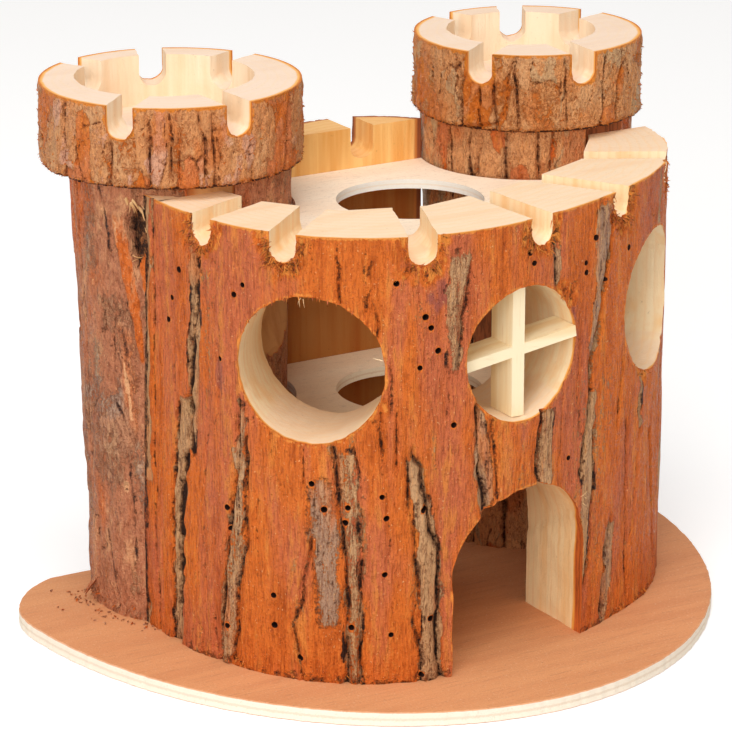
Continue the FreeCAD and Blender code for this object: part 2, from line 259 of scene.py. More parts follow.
# grain: noise drawn out along the fibres, fine and broad, and a grit without direction
grain, given, result = new_group(
    "wood_grain", [("Scale", "v"), ("Grit", "f")], [("Fine", "f"), ("Broad", "f"), ("Grit", "f")])
place = put(grain, "TexCoord").outputs["Object"]
drawn = put(grain, "VectorMath", {"operation": "MULTIPLY"})
grain.links.new(place, drawn.inputs[0])
grain.links.new(given["Scale"], drawn.inputs[1])
fine = put(grain, "TexNoise", Vector=drawn.outputs[0], Scale=1.0, Detail=4.0, Roughness=0.65)
broad = put(grain, "TexNoise", Vector=drawn.outputs[0], Scale=0.13, Detail=3.0, Roughness=0.55)
grit = put(grain, "TexNoise", Vector=place, Scale=given["Grit"], Detail=3.0, Roughness=0.7)
grain.links.new(fine.outputs["Fac"], result["Fine"])
grain.links.new(broad.outputs["Fac"], result["Broad"])
grain.links.new(grit.outputs["Fac"], result["Grit"])


def finish_surface(tree, colour, roughness, height, depth, gloss=0.25):
    """The shader that ends every wood material: colour, roughness and a bump of that depth in m."""
    bump = put(tree, "Bump", Height=height, Strength=1.0, Distance=depth)
    surface = put(tree, "BsdfPrincipled", Base_Color=colour, Roughness=roughness,
                  Normal=bump.outputs[0])
    surface.inputs["Specular IOR Level"].default_value = gloss
    tree.links.new(surface.outputs[0], put(tree, "OutputMaterial").inputs["Surface"])


def darker(colour, share):
    """The colour with its red, green and blue times the share."""
    return tuple(share * value for value in colour[:3]) + (1.0,)


def ply_material(name, face, pore, stretch, edge, line, layer_height, low_z):
    """Plywood: veneer with pores on the faces, and on the cut edge the layers by height."""
    made, tree = new_material(name)
    looks = use(tree, grain, Scale=stretch, Grit=1500.0)
    veneer = mixed(tree, rise(tree, looks["Broad"], 0.36, 0.68, 0.8), face, pore)
    veneer = mixed(tree, rise(tree, looks["Fine"], 0.52, 0.74, 0.5), veneer, darker(pore, 0.72))
    veneer = mixed(tree, rise(tree, looks["Grit"], 0.58, 0.72, 0.55), veneer, darker(pore, 0.55))
    veneer = mixed(tree, rise(tree, looks["Grit"], 0.42, 0.28, 0.35), veneer, edge)
    place = put(tree, "SeparateXYZ", Vector=put(tree, "TexCoord").outputs["Object"]).outputs
    level = calc(tree, "DIVIDE", calc(tree, "SUBTRACT", place["Z"], low_z), layer_height)
    wavy = calc(tree, "ADD", level, calc(tree, "MULTIPLY", looks["Grit"], 0.25))
    middle = calc(tree, "ABSOLUTE", calc(tree, "SUBTRACT", wavy, 0.62))
    layers = mixed(tree, rise(tree, middle, 0.13, 0.04, 0.45), edge, line)
    layers = mixed(tree, rise(tree, looks["Grit"], 0.57, 0.72, 0.5), layers, line)
    up = put(tree, "SeparateXYZ", Vector=put(tree, "NewGeometry").outputs["Normal"]).outputs["Z"]
    flat = rise(tree, calc(tree, "ABSOLUTE", up), 0.6, 0.8)
    colour = mixed(tree, flat, layers, veneer)
    height = calc(tree, "ADD", looks["Fine"], looks["Grit"])
    finish_surface(tree, colour, 0.72, height, 0.00012)
    return made


def board_outline(count):
    """Half ellipse in front, run on behind its middle to the straight back edge, the back corners
    rounded: what lies beyond a corner's arc is pulled in to it. Resampled to equal steps."""
    half_width, nose, middle_y, back_y, corner = 99.0, 121.0, 49.0, 72.0, 30.0
    turn = np.linspace(-np.pi, np.pi, 4001)
    x = half_width * np.sin(turn)
    y = np.minimum(middle_y - nose * np.cos(turn), back_y)
    keep = np.abs(turn) < 2.2
    x, y = x[keep], y[keep]
    corner_y = back_y - corner
    corner_x = half_width * np.sqrt(1 - ((middle_y - corner_y) / nose) ** 2) - corner
    beyond = (np.abs(x) > corner_x) & (y > corner_y)
    bend = np.arctan2(y - corner_y, np.abs(x) - corner_x)
    limit = np.minimum(np.hypot(np.abs(x) - corner_x, y - corner_y), corner)
    x = np.where(beyond, np.sign(x) * (corner_x + limit * np.cos(bend)), x)
    y = np.where(beyond, corner_y + limit * np.sin(bend), y)
    x, y = np.append(x, x[0]), np.append(y, y[0])
    run = np.concatenate([[0], np.cumsum(np.hypot(np.diff(x), np.diff(y)))])
    even = np.linspace(0, run[-1], count, endpoint=False)
    return np.interp(even, run, x), np.interp(even, run, y), run[-1]


edge_x, edge_y, girth = board_outline(1400)
step = np.linspace(0, girth, len(edge_x), endpoint=False)
levels = np.array([0.0, 0.25, 1.0, 1.9, 2.8, 3.75, 4.0])
inset = np.array([0.35, 0.05, 0.0, 0.12, 0.0, 0.05, 0.35])
centre = np.array([edge_x.mean(), edge_y.mean()])
reach = np.hypot(edge_x - centre[0], edge_y - centre[1])
saw = 0.13 + 0.12 * ripple(step, step * 0, 1.6, 1.0, 3, girth)
shrink = 1 - (inset[None, :] + saw[:, None]) / reach[:, None]
points = np.stack([centre[0] + (edge_x - centre[0])[:, None] * shrink,
                   centre[1] + (edge_y - centre[1])[:, None] * shrink,
                   np.broadcast_to(levels, shrink.shape)], -1)
board = grid_mesh("base_board", points)
board_ply = ply_material("board_ply", tint(224, 156, 106), tint(214, 144, 96), (120, 1300, 1300),
                         tint(248, 234, 214), tint(220, 192, 162), 0.004, 0.0)
show("base_board", board, [board_ply], ["base_plate"], 20.0)


# ---- bark and sawn wood -------------------------------------------------------------------
# Every log keeps its bark: red fibrous inner bark with weathered plates, black furrows (partly
# the bark's own dark, partly painted shade) and a few loose specks and painted glints. Where a saw
# or drill has gone through, the cut shows a thin orange line of bark and then cream sapwood.
bark_skin, given, result = new_group(
    "bark_skin",
    [("Fibre", "c"), ("Blush", "c"), ("Plate", "c"), ("Weathered", "c"), ("Rust", "c"),
     ("Furrow", "c"), ("Rim", "c"), ("Contrast", "f"), ("Lumps", "f"), ("Threads", "v"), ("Scales", "v")],
    [("Colour", "c"), ("Roughness", "f"), ("Height", "f")])
looks = use(bark_skin, grain, Scale=given["Threads"], Grit=1300.0)
coarse = use(bark_skin, grain, Scale=given["Scales"], Grit=420.0)
place = put(bark_skin, "TexCoord").outputs["Object"]
jagged = put(bark_skin, "TexNoise", Vector=place, Scale=560.0, Detail=4.0, Roughness=0.75)
marks = {name: put(bark_skin, "Attribute", {"attribute_name": name}).outputs["Fac"]
         for name in ("furrow", "plate", "weathered", "blush", "rim", "bruise")}
off = {name: calc(bark_skin, "SUBTRACT", value, 0.5)
       for name, value in (("grit", looks["Grit"]), ("fibre", looks["Fine"]), ("band", looks["Broad"]),
                           ("lump", coarse["Fine"]), ("cloud", coarse["Broad"]), ("pit", coarse["Grit"]))}
ragged = calc(bark_skin, "MULTIPLY_ADD", off["grit"], 0.9, calc(bark_skin, "MULTIPLY", off["lump"], 1.1))
ragged = calc(bark_skin, "MULTIPLY_ADD", off["fibre"], 0.5, ragged)

# inner bark: orange fibres, pinker in broad patches and bands, brighter and darker lengthwise
pinker = calc(bark_skin, "MULTIPLY_ADD", off["cloud"], 1.2, marks["blush"])
pinker = calc(bark_skin, "MULTIPLY_ADD", off["band"], 1.6, pinker)
colour = mixed(bark_skin, rise(bark_skin, pinker, 0.15, 0.85), given["Fibre"], given["Blush"])
bright = calc(bark_skin, "MULTIPLY_ADD", off["lump"], 0.7, off["band"])
colour = mixed(bark_skin, rise(bark_skin, bright, 0.02, 0.22, 0.6), colour, given["Rim"])
dull = calc(bark_skin, "MULTIPLY", rise(bark_skin, bright, -0.04, -0.2, 0.75), given["Contrast"])
colour = mixed(bark_skin, dull, colour, (0.58, 0.42, 0.34, 1.0), "MULTIPLY")
bruised = calc(bark_skin, "MULTIPLY_ADD", ragged, 0.8, marks["bruise"])
colour = mixed(bark_skin, rise(bark_skin, bruised, 0.3, 1.0, 0.6), colour, tint(150, 84, 84))

# old outer bark: tan to grey plates with thin dark lines where one layer ends on the next
patchy = calc(bark_skin, "ADD", marks["plate"], ragged)
old = rise(bark_skin, patchy, 0.36, 0.58, 0.94)
greyer = calc(bark_skin, "ADD", marks["weathered"], ragged)
skin = mixed(bark_skin, rise(bark_skin, greyer, 0.3, 0.7), given["Plate"], given["Weathered"])
skin = mixed(bark_skin, rise(bark_skin, off["band"], 0.0, 0.16, 0.45), skin, tint(226, 182, 136))
layer = calc(bark_skin, "MULTIPLY", off["band"], 0.8)
layer = calc(bark_skin, "ABSOLUTE", calc(bark_skin, "ADD", off["lump"], layer))
skin = mixed(bark_skin, rise(bark_skin, layer, 0.03, 0.006, 0.6), skin, given["Rust"])
skin = mixed(bark_skin, rise(bark_skin, off["cloud"], 0.03, 0.14, 0.5), skin, given["Fibre"])
colour = mixed(bark_skin, old, colour, skin)

# fibres and grit over all of it
shade = calc(bark_skin, "MULTIPLY", rise(bark_skin, off["fibre"], 0.02, -0.17), given["Contrast"])
colour = mixed(bark_skin, shade, colour, (0.42, 0.29, 0.22, 1.0), "MULTIPLY")
shade = calc(bark_skin, "MULTIPLY", rise(bark_skin, off["grit"], 0.03, 0.2), given["Contrast"])
colour = mixed(bark_skin, shade, colour, (0.55, 0.36, 0.28, 1.0), "MULTIPLY")
shade = calc(bark_skin, "MULTIPLY", rise(bark_skin, off["pit"], 0.0, -0.2), given["Lumps"])
colour = mixed(bark_skin, shade, colour, (0.45, 0.33, 0.27, 1.0), "MULTIPLY")
colour = mixed(bark_skin, rise(bark_skin, off["fibre"], 0.04, 0.22, 0.4), colour, given["Rim"])
# painted highlight: small pale glints scattered over the bark
speck = put(bark_skin, "TexNoise", Vector=place, Scale=1500.0, Detail=1.0)
glint = rise(bark_skin, speck.outputs["Fac"], 0.71, 0.77, 0.6)
colour = mixed(bark_skin, glint, colour, tint(246, 190, 130))
edge = calc(bark_skin, "MULTIPLY_ADD", ragged, 1.2, marks["rim"])
colour = mixed(bark_skin, rise(bark_skin, edge, 0.4, 0.8, 0.9), colour, given["Rim"])
# furrow marks turn rust, then near black: partly the bark's own dark, partly painted shade in the cracks
deep = calc(bark_skin, "MULTIPLY_ADD", ragged, 0.5, calc(bark_skin, "SUBTRACT", marks["furrow"], 0.95))
deep = calc(bark_skin, "MULTIPLY_ADD", jagged.outputs["Fac"], 1.9, deep)
colour = mixed(bark_skin, rise(bark_skin, deep, 0.48, 0.78, 0.65), colour, given["Rust"])
colour = mixed(bark_skin, rise(bark_skin, deep, 0.78, 0.96, 0.96), colour, given["Furrow"])
height = calc(bark_skin, "MULTIPLY_ADD", off["grit"], 0.8, off["fibre"])
lumpy = calc(bark_skin, "MULTIPLY_ADD", given["Lumps"], 2.4, 0.8)
height = calc(bark_skin, "MULTIPLY_ADD", off["lump"], lumpy, height)
height = calc(bark_skin, "MULTIPLY_ADD", rise(bark_skin, patchy, 0.36, 0.58), 0.35, height)
height = calc(bark_skin, "MULTIPLY_ADD", rise(bark_skin, deep, 0.5, 0.9), -0.7, height)
bark_skin.links.new(colour, result["Colour"])
bark_skin.links.new(rise(bark_skin, looks["Grit"], 0.75, 0.3, 0.95), result["Roughness"])
bark_skin.links.new(height, result["Height"])


def bark_material(name, fibre, blush, plate, weathered, rust, furrow, rim, contrast, lumps,
                  threads, scales):
    """Bark in its colours, chosen by the mesh's furrow, plate, weathered, blush and rim marks;
    threads and scales are how close the fine and the coarse marks lie along x, y and z."""
    made, tree = new_material(name)
    looks = use(tree, bark_skin, Fibre=fibre, Blush=blush, Plate=plate, Weathered=weathered,
                Rust=rust, Furrow=furrow, Rim=rim, Contrast=contrast, Lumps=lumps,
                Threads=threads, Scales=scales)
    finish_surface(tree, looks["Colour"], looks["Roughness"], looks["Height"], 0.0009, 0.15)
    return made


# depth under the bark in mm: outline radius less the distance from the log's axis, where the
# outline is a circle with a three-lobed and a two-lobed swell
under_bark, given, result = new_group(
    "depth_under_bark",
    [("Axis X", "f"), ("Axis Y", "f"), ("Radius", "f"), ("Three Lobe", "f"), ("Two Lobe", "f")],
    [("Depth", "f")])
place = put(under_bark, "SeparateXYZ", Vector=put(under_bark, "TexCoord").outputs["Object"]).outputs
across = calc(under_bark, "SUBTRACT", calc(under_bark, "MULTIPLY", place["X"], 1000.0), given["Axis X"])
along = calc(under_bark, "SUBTRACT", given["Axis Y"], calc(under_bark, "MULTIPLY", place["Y"], 1000.0))
turn = calc(under_bark, "ARCTAN2", across, along)
three = calc(under_bark, "COSINE", calc(under_bark, "MULTIPLY_ADD", turn, 3.0, np.radians(108.0)))
two = calc(under_bark, "COSINE", calc(under_bark, "MULTIPLY_ADD", turn, 2.0, np.radians(-104.0)))
rim_radius = calc(under_bark, "MULTIPLY_ADD", three, given["Three Lobe"], given["Radius"])
rim_radius = calc(under_bark, "MULTIPLY_ADD", two, given["Two Lobe"], rim_radius)
out = calc(under_bark, "SQRT", calc(under_bark, "ADD", calc(under_bark, "MULTIPLY", across, across),
                                    calc(under_bark, "MULTIPLY", along, along)))
under_bark.links.new(calc(under_bark, "SUBTRACT", rim_radius, out), result["Depth"])


def log_shape(centre, radius, three_lobe=0.0, two_lobe=0.0):
    """A log's axis and outline, as the inputs of the depth under its bark."""
    return {"Axis_X": centre[0], "Axis_Y": centre[1], "Radius": radius,
            "Three_Lobe": three_lobe, "Two_Lobe": two_lobe}


def sawn_material(name, cream, tan, line, inner_line, log, bark_low, bark_high, roof_shade=None):
    """Cut wood: cream sapwood with fibres on upright cuts and saw lines on level ones; nearer to
    the outline than the bark's thickness it is bark, thick at the foot and thin at the top. Low
    upright cuts are darkened as painted shade, and a given colour paints shade under the roof."""
    made, tree = new_material(name)
    side = use(tree, grain, Scale=(1300, 1300, 90), Grit=900.0)
    flat = use(tree, grain, Scale=(300, 1500, 300), Grit=900.0)
    up = put(tree, "SeparateXYZ", Vector=put(tree, "NewGeometry").outputs["Normal"]).outputs["Z"]
    level = rise(tree, up, 0.6, 0.9)
    fine = put(tree, "Mix", Factor=level, A=side["Fine"], B=flat["Fine"]).outputs[0]
    broad = put(tree, "Mix", Factor=level, A=side["Broad"], B=flat["Broad"]).outputs[0]
    richer = calc(tree, "MULTIPLY", rise(tree, broad, 0.40, 0.70),
                  calc(tree, "MULTIPLY_ADD", level, -0.6, 1.0))
    colour = mixed(tree, richer, cream, tan)
    colour = mixed(tree, rise(tree, fine, 0.58, 0.78, 0.5), colour, tan)
    colour = mixed(tree, level, colour, (0.94, 0.88, 0.93, 1.0), "MULTIPLY")
    pit = rise(tree, side["Grit"], 0.64, 0.76, 0.45)
    colour = mixed(tree, pit, colour, darker(tan, 0.55))
    depth = use(tree, under_bark, **log)["Depth"]
    ring = calc(tree, "MULTIPLY_ADD", side["Broad"], 1.2, calc(tree, "MULTIPLY", depth, 0.37))
    ring = calc(tree, "FRACT", ring)
    colour = mixed(tree, rise(tree, ring, 0.55, 0.95, 0.35), colour, tan)
    place = put(tree, "SeparateXYZ", Vector=put(tree, "TexCoord").outputs["Object"]).outputs
    # painted shade: upright cuts below 56 to 66 mm, such as the doorway's sides, are darker and yellower
    lower = calc(tree, "MULTIPLY", rise(tree, place["Z"], 0.066, 0.056), calc(tree, "SUBTRACT", 1.0, level))
    colour = mixed(tree, lower, colour, (1.0, 0.95, 0.82, 1.0), "MULTIPLY")
    # painted shade under the roof: the given colour multiplies the wood below the roof's height
    if roof_shade:
        low = calc(tree, "MULTIPLY_ADD", side["Broad"], 0.004, place["Z"])
        colour = mixed(tree, rise(tree, low, 0.113, 0.110), colour, roof_shade, "MULTIPLY")
    foot = rise(tree, place["Z"], 0.058, 0.020)
    thick = calc(tree, "MULTIPLY_ADD", foot, bark_low - bark_high, bark_high)
    ragged = calc(tree, "MULTIPLY_ADD", side["Broad"], thick, depth)
    ragged = calc(tree, "SUBTRACT", ragged, calc(tree, "MULTIPLY", thick, 0.5))
    beyond = calc(tree, "SUBTRACT", ragged, thick)
    colour = mixed(tree, rise(tree, beyond, 0.55, -0.1), colour, inner_line)
    colour = mixed(tree, rise(tree, beyond, -0.15, -0.7), colour, line)
    streak = calc(tree, "MULTIPLY", rise(tree, beyond, -0.5, -1.1), rise(tree, fine, 0.46, 0.62, 0.8))
    colour = mixed(tree, streak, colour, darker(line, 0.4))
    height = calc(tree, "ADD", fine, calc(tree, "MULTIPLY", side["Grit"], 0.6))
    finish_surface(tree, colour, 0.7, height, 0.0002)
    return made


def plates(u, z, wide, tall, seed, around):
    """Cells around jittered points: the gap between the nearest and second nearest point, 0 on a
    border, and a random number from 0 to 1 for each cell; around is the girth."""
    columns = max(int(round(around / wide)), 1)
    dice = np.random.default_rng(seed).random((3, columns, 64))
    a = u / (around / columns)
    b = z / tall + 20.0 + 0.5 * (np.floor(a) % 2)
    nearest = np.full(a.shape, 9.0)
    second = nearest.copy()
    value = nearest * 0
    for step_a in (-1, 0, 1):
        for step_b in (-1, 0, 1):
            i = np.floor(a).astype(int) + step_a
            j = np.floor(b).astype(int) + step_b
            one, two, three = dice[:, i % columns, j % 64]
            apart = np.hypot(i + 0.15 + 0.7 * one - a, j + 0.1 + 0.8 * two - b)
            closer = apart < nearest
            second = np.where(closer, nearest, np.minimum(second, apart))
            value = np.where(closer, three, value)
            nearest = np.minimum(nearest, apart)
    return second - nearest, value


def soft(value, low, high):
    """Smooth step from 0 at low to 1 at high; low may be the larger."""
    share = np.clip((value - low) / (high - low), 0, 1)
    return share * share * (3 - 2 * share)


def crack(u, z, centre_u, centre_z, half, ends=3.0):
    """Crack drawn through points: 0.8 at its half width, up to 1.5 inside, and falling by 0.9 a
    millimetre outside it; the half width swells and shrinks along its length."""
    order = np.argsort(centre_z)
    middle = np.interp(z, np.array(centre_z)[order], np.array(centre_u)[order])
    inside = soft(z, min(centre_z) - ends, min(centre_z)) * soft(z, max(centre_z) + ends, max(centre_z))
    swell = half * (0.45 + 1.1 * ripple(z, z * 0 + middle, 4.0, 40.0, int(abs(middle[0, 0]) * 10) % 997))
    return np.clip(0.8 - 0.9 * (np.abs(u - middle) - swell), 0, 1.5) * inside


def wandering(u, z, size_u, size_z, seed, around, half):
    """Lengthwise cracks where smooth noise passes through 0, by the distance measured across the
    fibres: 0.8 at the half width, falling by 0.9 a millimetre outside it."""
    noise = ripple(u, z, size_u, size_z, seed, around)
    slope = np.abs(np.gradient(noise, axis=0)) / abs(u[1, 0] - u[0, 0])
    return np.clip(0.8 - 0.9 * (np.abs(noise) / (slope + 0.02) - half), 0, 1)


def between(u, z, left, right, blur=0.8):
    """Share from 0 to 1 inside a patch between two lines, each given as (height, place along the
    bark) points, its edge as wide as twice the blur."""
    left_z, left_u = np.array(sorted(left), dtype=float).T
    right_z, right_u = np.array(sorted(right), dtype=float).T
    low_u, high_u = np.interp(z, left_z, left_u), np.interp(z, right_z, right_u)
    bottom, top = min(left_z[0], right_z[0]), max(left_z[-1], right_z[-1])
    across = soft(u, low_u - blur, low_u + blur) * soft(u, high_u + blur, high_u - blur)
    return across * soft(z, bottom - 2, bottom + 1) * soft(z, top + 2, top - 2)


def splinters(name, roots, ways, widths, bark, marks, seed):
    """Torn fibres: each a three-sided spike from its root along its way, bowed sideways by the
    sine of its length and as wide as its width times the square root of what is left of it."""
    dice = np.random.default_rng(seed)
    roots, ways, widths = np.asarray(roots), np.asarray(ways), np.asarray(widths)
    length = np.linalg.norm(ways, axis=1, keepdims=True)
    side = np.cross(ways, dice.normal(size=ways.shape))
    side /= np.linalg.norm(side, axis=1, keepdims=True)
    other = np.cross(ways / length, side)
    share = np.array([0.0, 0.35, 0.7, 1.0])[None, :, None, None]
    corner = np.radians([0.0, 120.0, 240.0])[None, None, :, None]
    bow = (dice.normal(size=(len(roots), 1)) * 0.16 * length * side)[:, None, None]
    girth = widths[:, None, None, None] * 0.5 * np.sqrt(1.02 - share)
    points = (roots[:, None, None] + share * ways[:, None, None] + np.sin(np.pi * share * 0.8) * bow
              + girth * (np.cos(corner) * side[:, None, None] + np.sin(corner) * other[:, None, None]))
    number = np.arange(len(roots) * 12).reshape(-1, 4, 3)
    turned = np.roll(number, -1, axis=2)
    quads = np.stack([number[:, :-1], number[:, 1:], turned[:, 1:], turned[:, :-1]], -1).reshape(-1, 4)
    caps = [*number[:, 0], *number[:, 3]]
    layers = {mark: np.repeat(np.broadcast_to(value, len(roots)), 12) for mark, value in marks.items()}
    return show(name, build_mesh(name, points, quads, caps, layers), [bark], (), 80.0)


def torn_fibres(name, centre, outline, grid, surface, turns, heights, reach, widths, bark, marks, seed):
    """Splinters rooted on bark at angles and heights: the outline radius there plus the relief of
    the nearest grid point. Reach gives each one's length outwards, along the bark and up."""
    column = np.argmin(np.abs(grid[0][:, None] - turns[None, :]), axis=0)
    row = np.argmin(np.abs(grid[1][:, None] - heights[None, :]), axis=0)
    turn = np.radians(turns)
    outward = np.stack([np.sin(turn), -np.cos(turn), 0 * turn], -1)
    aside = np.stack([np.cos(turn), np.sin(turn), 0 * turn], -1)
    roots = (np.array([centre[0], centre[1], 0.0]) + outward * (outline + surface[column, row] - 0.3)[:, None]
             + np.array([0, 0, 1.0]) * heights[:, None])
    reach = np.asarray(reach, dtype=float)
    ways = outward * reach[:, :1] + aside * reach[:, 1:2] + np.array([0, 0, 1.0]) * reach[:, 2:3]
    return splinters(name, roots, ways, widths, bark, marks, seed)


def cut_away(piece, cutters):
    """Takes closed cutter meshes out of a piece, once, and keeps the result as its mesh."""
    joined = bmesh.new()
    for cutter in cutters:
        joined.from_mesh(cutter)
    tool_mesh = bpy.data.meshes.new(piece.name + "_cut")
    joined.to_mesh(tool_mesh)
    joined.free()
    for material in cutters[0].materials:
        tool_mesh.materials.append(material)
    tool = bpy.data.objects.new(piece.name + "_cut", tool_mesh)
    bpy.context.scene.collection.objects.link(tool)
    change = piece.modifiers.new("cut", "BOOLEAN")
    change.operation = "DIFFERENCE"
    change.solver = "MANIFOLD"
    change.material_mode = "TRANSFER"
    change.object = tool
    bpy.context.view_layer.update()
    graph = bpy.context.evaluated_depsgraph_get()
    result = bpy.data.meshes.new_from_object(
        piece.evaluated_get(graph), preserve_all_data_layers=True, depsgraph=graph)
    piece.modifiers.clear()
    bpy.data.objects.remove(tool)
    result.set_sharp_from_angle(angle=np.radians(38.0))
    result.name = piece.name
    piece.data = result


def cutter_mesh(name, points, material):
    """Closed cutter over a grid of places that goes round its rows, in the wood that it bares."""
    mesh = grid_mesh(name, points)
    mesh.materials.append(material)
    return mesh


def rod_cutter(name, start, direction, radius, length, material, rough=0.0, seed=0, sides=160, rows=40):
    """Closed cylinder from a start point along a unit direction: radius plus lengthwise tool
    marks and a waviness, both times rough."""
    start = np.array(start, dtype=float)
    direction = np.array(direction, dtype=float)
    side = np.cross(direction, (0, 0, 1.0) if abs(direction[2]) < 0.9 else (0, 1.0, 0))
    side /= np.linalg.norm(side)
    other = np.cross(side, direction)
    turn, way = np.meshgrid(np.linspace(0, 2 * np.pi, sides, endpoint=False),
                            np.linspace(0, length, rows), indexing="ij")
    girth = 2 * np.pi * radius
    wave = (ripple(turn * radius, way, 1.3, 7.0, seed, girth)
            + 0.7 * ripple(turn * radius, way, 5.0, 3.0, seed + 1, girth))
    spread = (radius + rough * wave)[..., None]
    points = start + way[..., None] * direction + spread * (
        np.cos(turn)[..., None] * side + np.sin(turn)[..., None] * other)
    return cutter_mesh(name, points, material)


def groove_cutter(name, start, angle, top, depth, width, length, material, seed):
    """Round-bottomed groove: a U-shaped profile carried along a level line in the direction of
    the angle, roughened by small waves."""
    half = width / 2
    middle = top - depth + half
    bend = np.linspace(0, np.pi, 21)
    across = np.concatenate([-half * np.cos(bend), [half, -half]])
    height = np.concatenate([middle - half * np.sin(bend), [top + 8, top + 8]])
    profile, way = np.meshgrid(np.arange(len(across)), np.linspace(0, length, 36), indexing="ij")
    wave = 1 + 0.06 * ripple(profile * 1.1, way, 2.0, 2.4, seed)
    heading = np.array([np.sin(np.radians(angle)), -np.cos(np.radians(angle)), 0.0])
    side = np.array([-heading[1], heading[0], 0.0])
    tall = middle + (height[profile] - middle) * wave
    points = np.array([start[0], start[1], 0.0]) + way[..., None] * heading + (
        (across[profile] * wave)[..., None] * side + tall[..., None] * np.array([0, 0, 1.0]))
    return cutter_mesh(name, points, material)


def block_cutter(name, low, high, material):
    """Closed box between two corners, one quad a side."""
    turn = np.array([[low[0], low[1]], [high[0], low[1]], [high[0], high[1]], [low[0], high[1]]])
    points = np.stack([np.concatenate([turn, np.full((4, 1), z)], axis=1) for z in (low[2], high[2])], 1)
    return cutter_mesh(name, points, material)


def at_turn(centre, turn, out, height):
    """Places at a turn in radians, a distance from the log's axis and a height."""
    return np.stack([centre[0] + np.sin(turn) * out, centre[1] - np.cos(turn) * out,
                     np.broadcast_to(height, out.shape)], -1)


def pad_marks(marks, extra):
    """Adds that many columns of 0 to every mark, for the faces that aren't bark."""
    return {name: np.pad(values, ((0, 0), (0, extra))) for name, values in marks.items()}


def wood_from(mesh, grid, first):
    """Gives both ends and the cells from that column of the grid on the second material."""
    cell = np.zeros((grid.shape[0] - 1, grid.shape[1]), dtype=np.int32)
    cell[:, first:] = 1
    mesh.polygons.foreach_set("material_index", np.append(cell.ravel(), [1, 1]))


# bark relief ends here, just inside the log's outline
just_inside = -0.03


def log_piece(name, centre, low, high, radius_at, relief, marks, materials, replaced):
    """Whole log: a grid of angle by height, radius plus bark relief, closed by its sawn ends."""
    columns, rows = relief.shape
    angle = np.radians(np.linspace(-180, 180, columns, endpoint=False))[:, None]
    height = np.linspace(low, high, rows)[None, :]
    out = radius_at(height) + np.minimum(relief, just_inside)
    mesh = grid_mesh(name, at_turn(centre, angle, out, height), layers=marks)
    piece = show(name, mesh, materials, replaced)
    sawn = np.ones(len(mesh.polygons), dtype=np.int32)
    sawn[:-2] = 0
    mesh.polygons.foreach_set("material_index", sawn)
    return piece


# ---- left tower ---------------------------------------------------------------------------
# Whole log with smooth grey-brown bark, creased lengthwise and nicked across. A strip of bark
# is torn off beside the wall and leaves a pocket with a knot, its darkness painted shade. Its foot is a
# little slimmer.
left_tower_place = (-49.1, 44.5)
right_tower_place = (60.3, 44.5)
log_foot, tower_top = 4.0, 127.2
seat_y = 18.0


def tower_radius(z):
    """27 at the foot, 30 at the top."""
    return 27.0 + 3.0 * (z - log_foot) / 123.2


columns, rows = 420, 150
degrees, z = np.meshgrid(np.linspace(-180, 180, columns, endpoint=False),
                         np.linspace(log_foot, tower_top, rows), indexing="ij")
u = degrees * 0.5
girth = 180.0
drift = u + 1.3 * ripple(u, z, 14, 22, 41, girth) + 0.4 * ripple(u, z, 3, 6, 42, girth)
creases = wandering(drift, z, 8.5, 60, 43, 0.0, 0.15) * soft(ripple(u, z, 9, 22, 46, girth), -0.2, 0.4)
gap, scale_tone = plates(drift, z + 2 * ripple(u, z, 5, 9, 50, girth), 9.0, 15.0, 44, girth)
nick = np.clip(1 - gap / 0.16, 0, 1) * soft(ripple(u, z, 7, 9, 45, girth), 0.0, 0.5)
furrow = np.maximum(0.8 * creases, 0.75 * nick)
relief = (0.5 * ripple(u, z, 22, 60, 47, girth) + 0.35 * ripple(u, z, 5, 18, 48, girth)
          + 0.2 * ripple(u, z, 1.4, 4, 49, girth) - 0.8 * furrow + 0.4 * scale_tone - 0.8)
jag = u + 0.5 * ripple(u, z, 2, 3.5, 55, girth)
strip = between(jag, z, [(118, -33), (106, -31), (95, -29.5), (84, -27), (78, -25.3)],
                [(118, -29), (106, -27.5), (95, -26), (85, -24.5), (78, -24.6)], 0.5)
pocket = between(jag, z, [(119, -28.2), (112, -28), (105, -26.4)],
                 [(119, -24.5), (109, -23.4), (105, -25.6)], 0.5)
side_strip = between(jag, z, [(116, -24.2), (104, -25.2), (98, -24)], [(116, -19), (98, -19)], 0.4)
relief = relief - 4.5 * pocket + 0.7 * strip + 0.4 * side_strip
bare = np.maximum(strip, side_strip)
furrow = furrow * (1 - bare) + 0.3 * (strip > 0.15) * (strip < 0.7)
# the pocket takes the dark furrow colour: painted shade in the hollow
furrow = np.maximum(furrow, 1.1 * pocket)
# cracks: heights, distances along the bark and half width
left_tower_cracks = [
    ((126, 117, 109), (-38, -35.5, -34.5), 0.3),
    ((96, 88, 80), (-34, -32, -30), 0.15),
    ((70, 68, 66, 62), (-41, -37.5, -34.5, -32), 0.4),
    ((48, 34, 22), (-30, -29.3, -28.7), 0.15),
    ((28, 18, 9), (-40, -38, -36), 0.1),
    ((81, 79, 77), (-36, -32.5, -29.5), 0.1),
    ((110, 111, 112), (-45, -38, -35), 0.1),
    ((88, 89, 89.5), (-43, -40, -37), 0.1),
    ((42, 41, 39), (-34, -31, -28), 0.1)]
for line_z, line_u, half in left_tower_cracks:
    furrow = np.maximum(furrow, crack(jag, z, line_u, line_z, 1.7 * half))
plate = np.clip(0.5 + 0.7 * ripple(u, z, 6, 15, 51, girth) - strip - side_strip - 0.4 * soft(z, 50, 20), 0, 1)
weathered = soft(ripple(u, z, 9, 24, 52, girth), 0.05, 0.6) * (1 - bare)
scratch = 1.1 * crack(jag, z, (-31, -30, -29), (76, 68, 60), 0.4) * soft(ripple(u, z, 2, 4, 56), -0.6, 0.0)
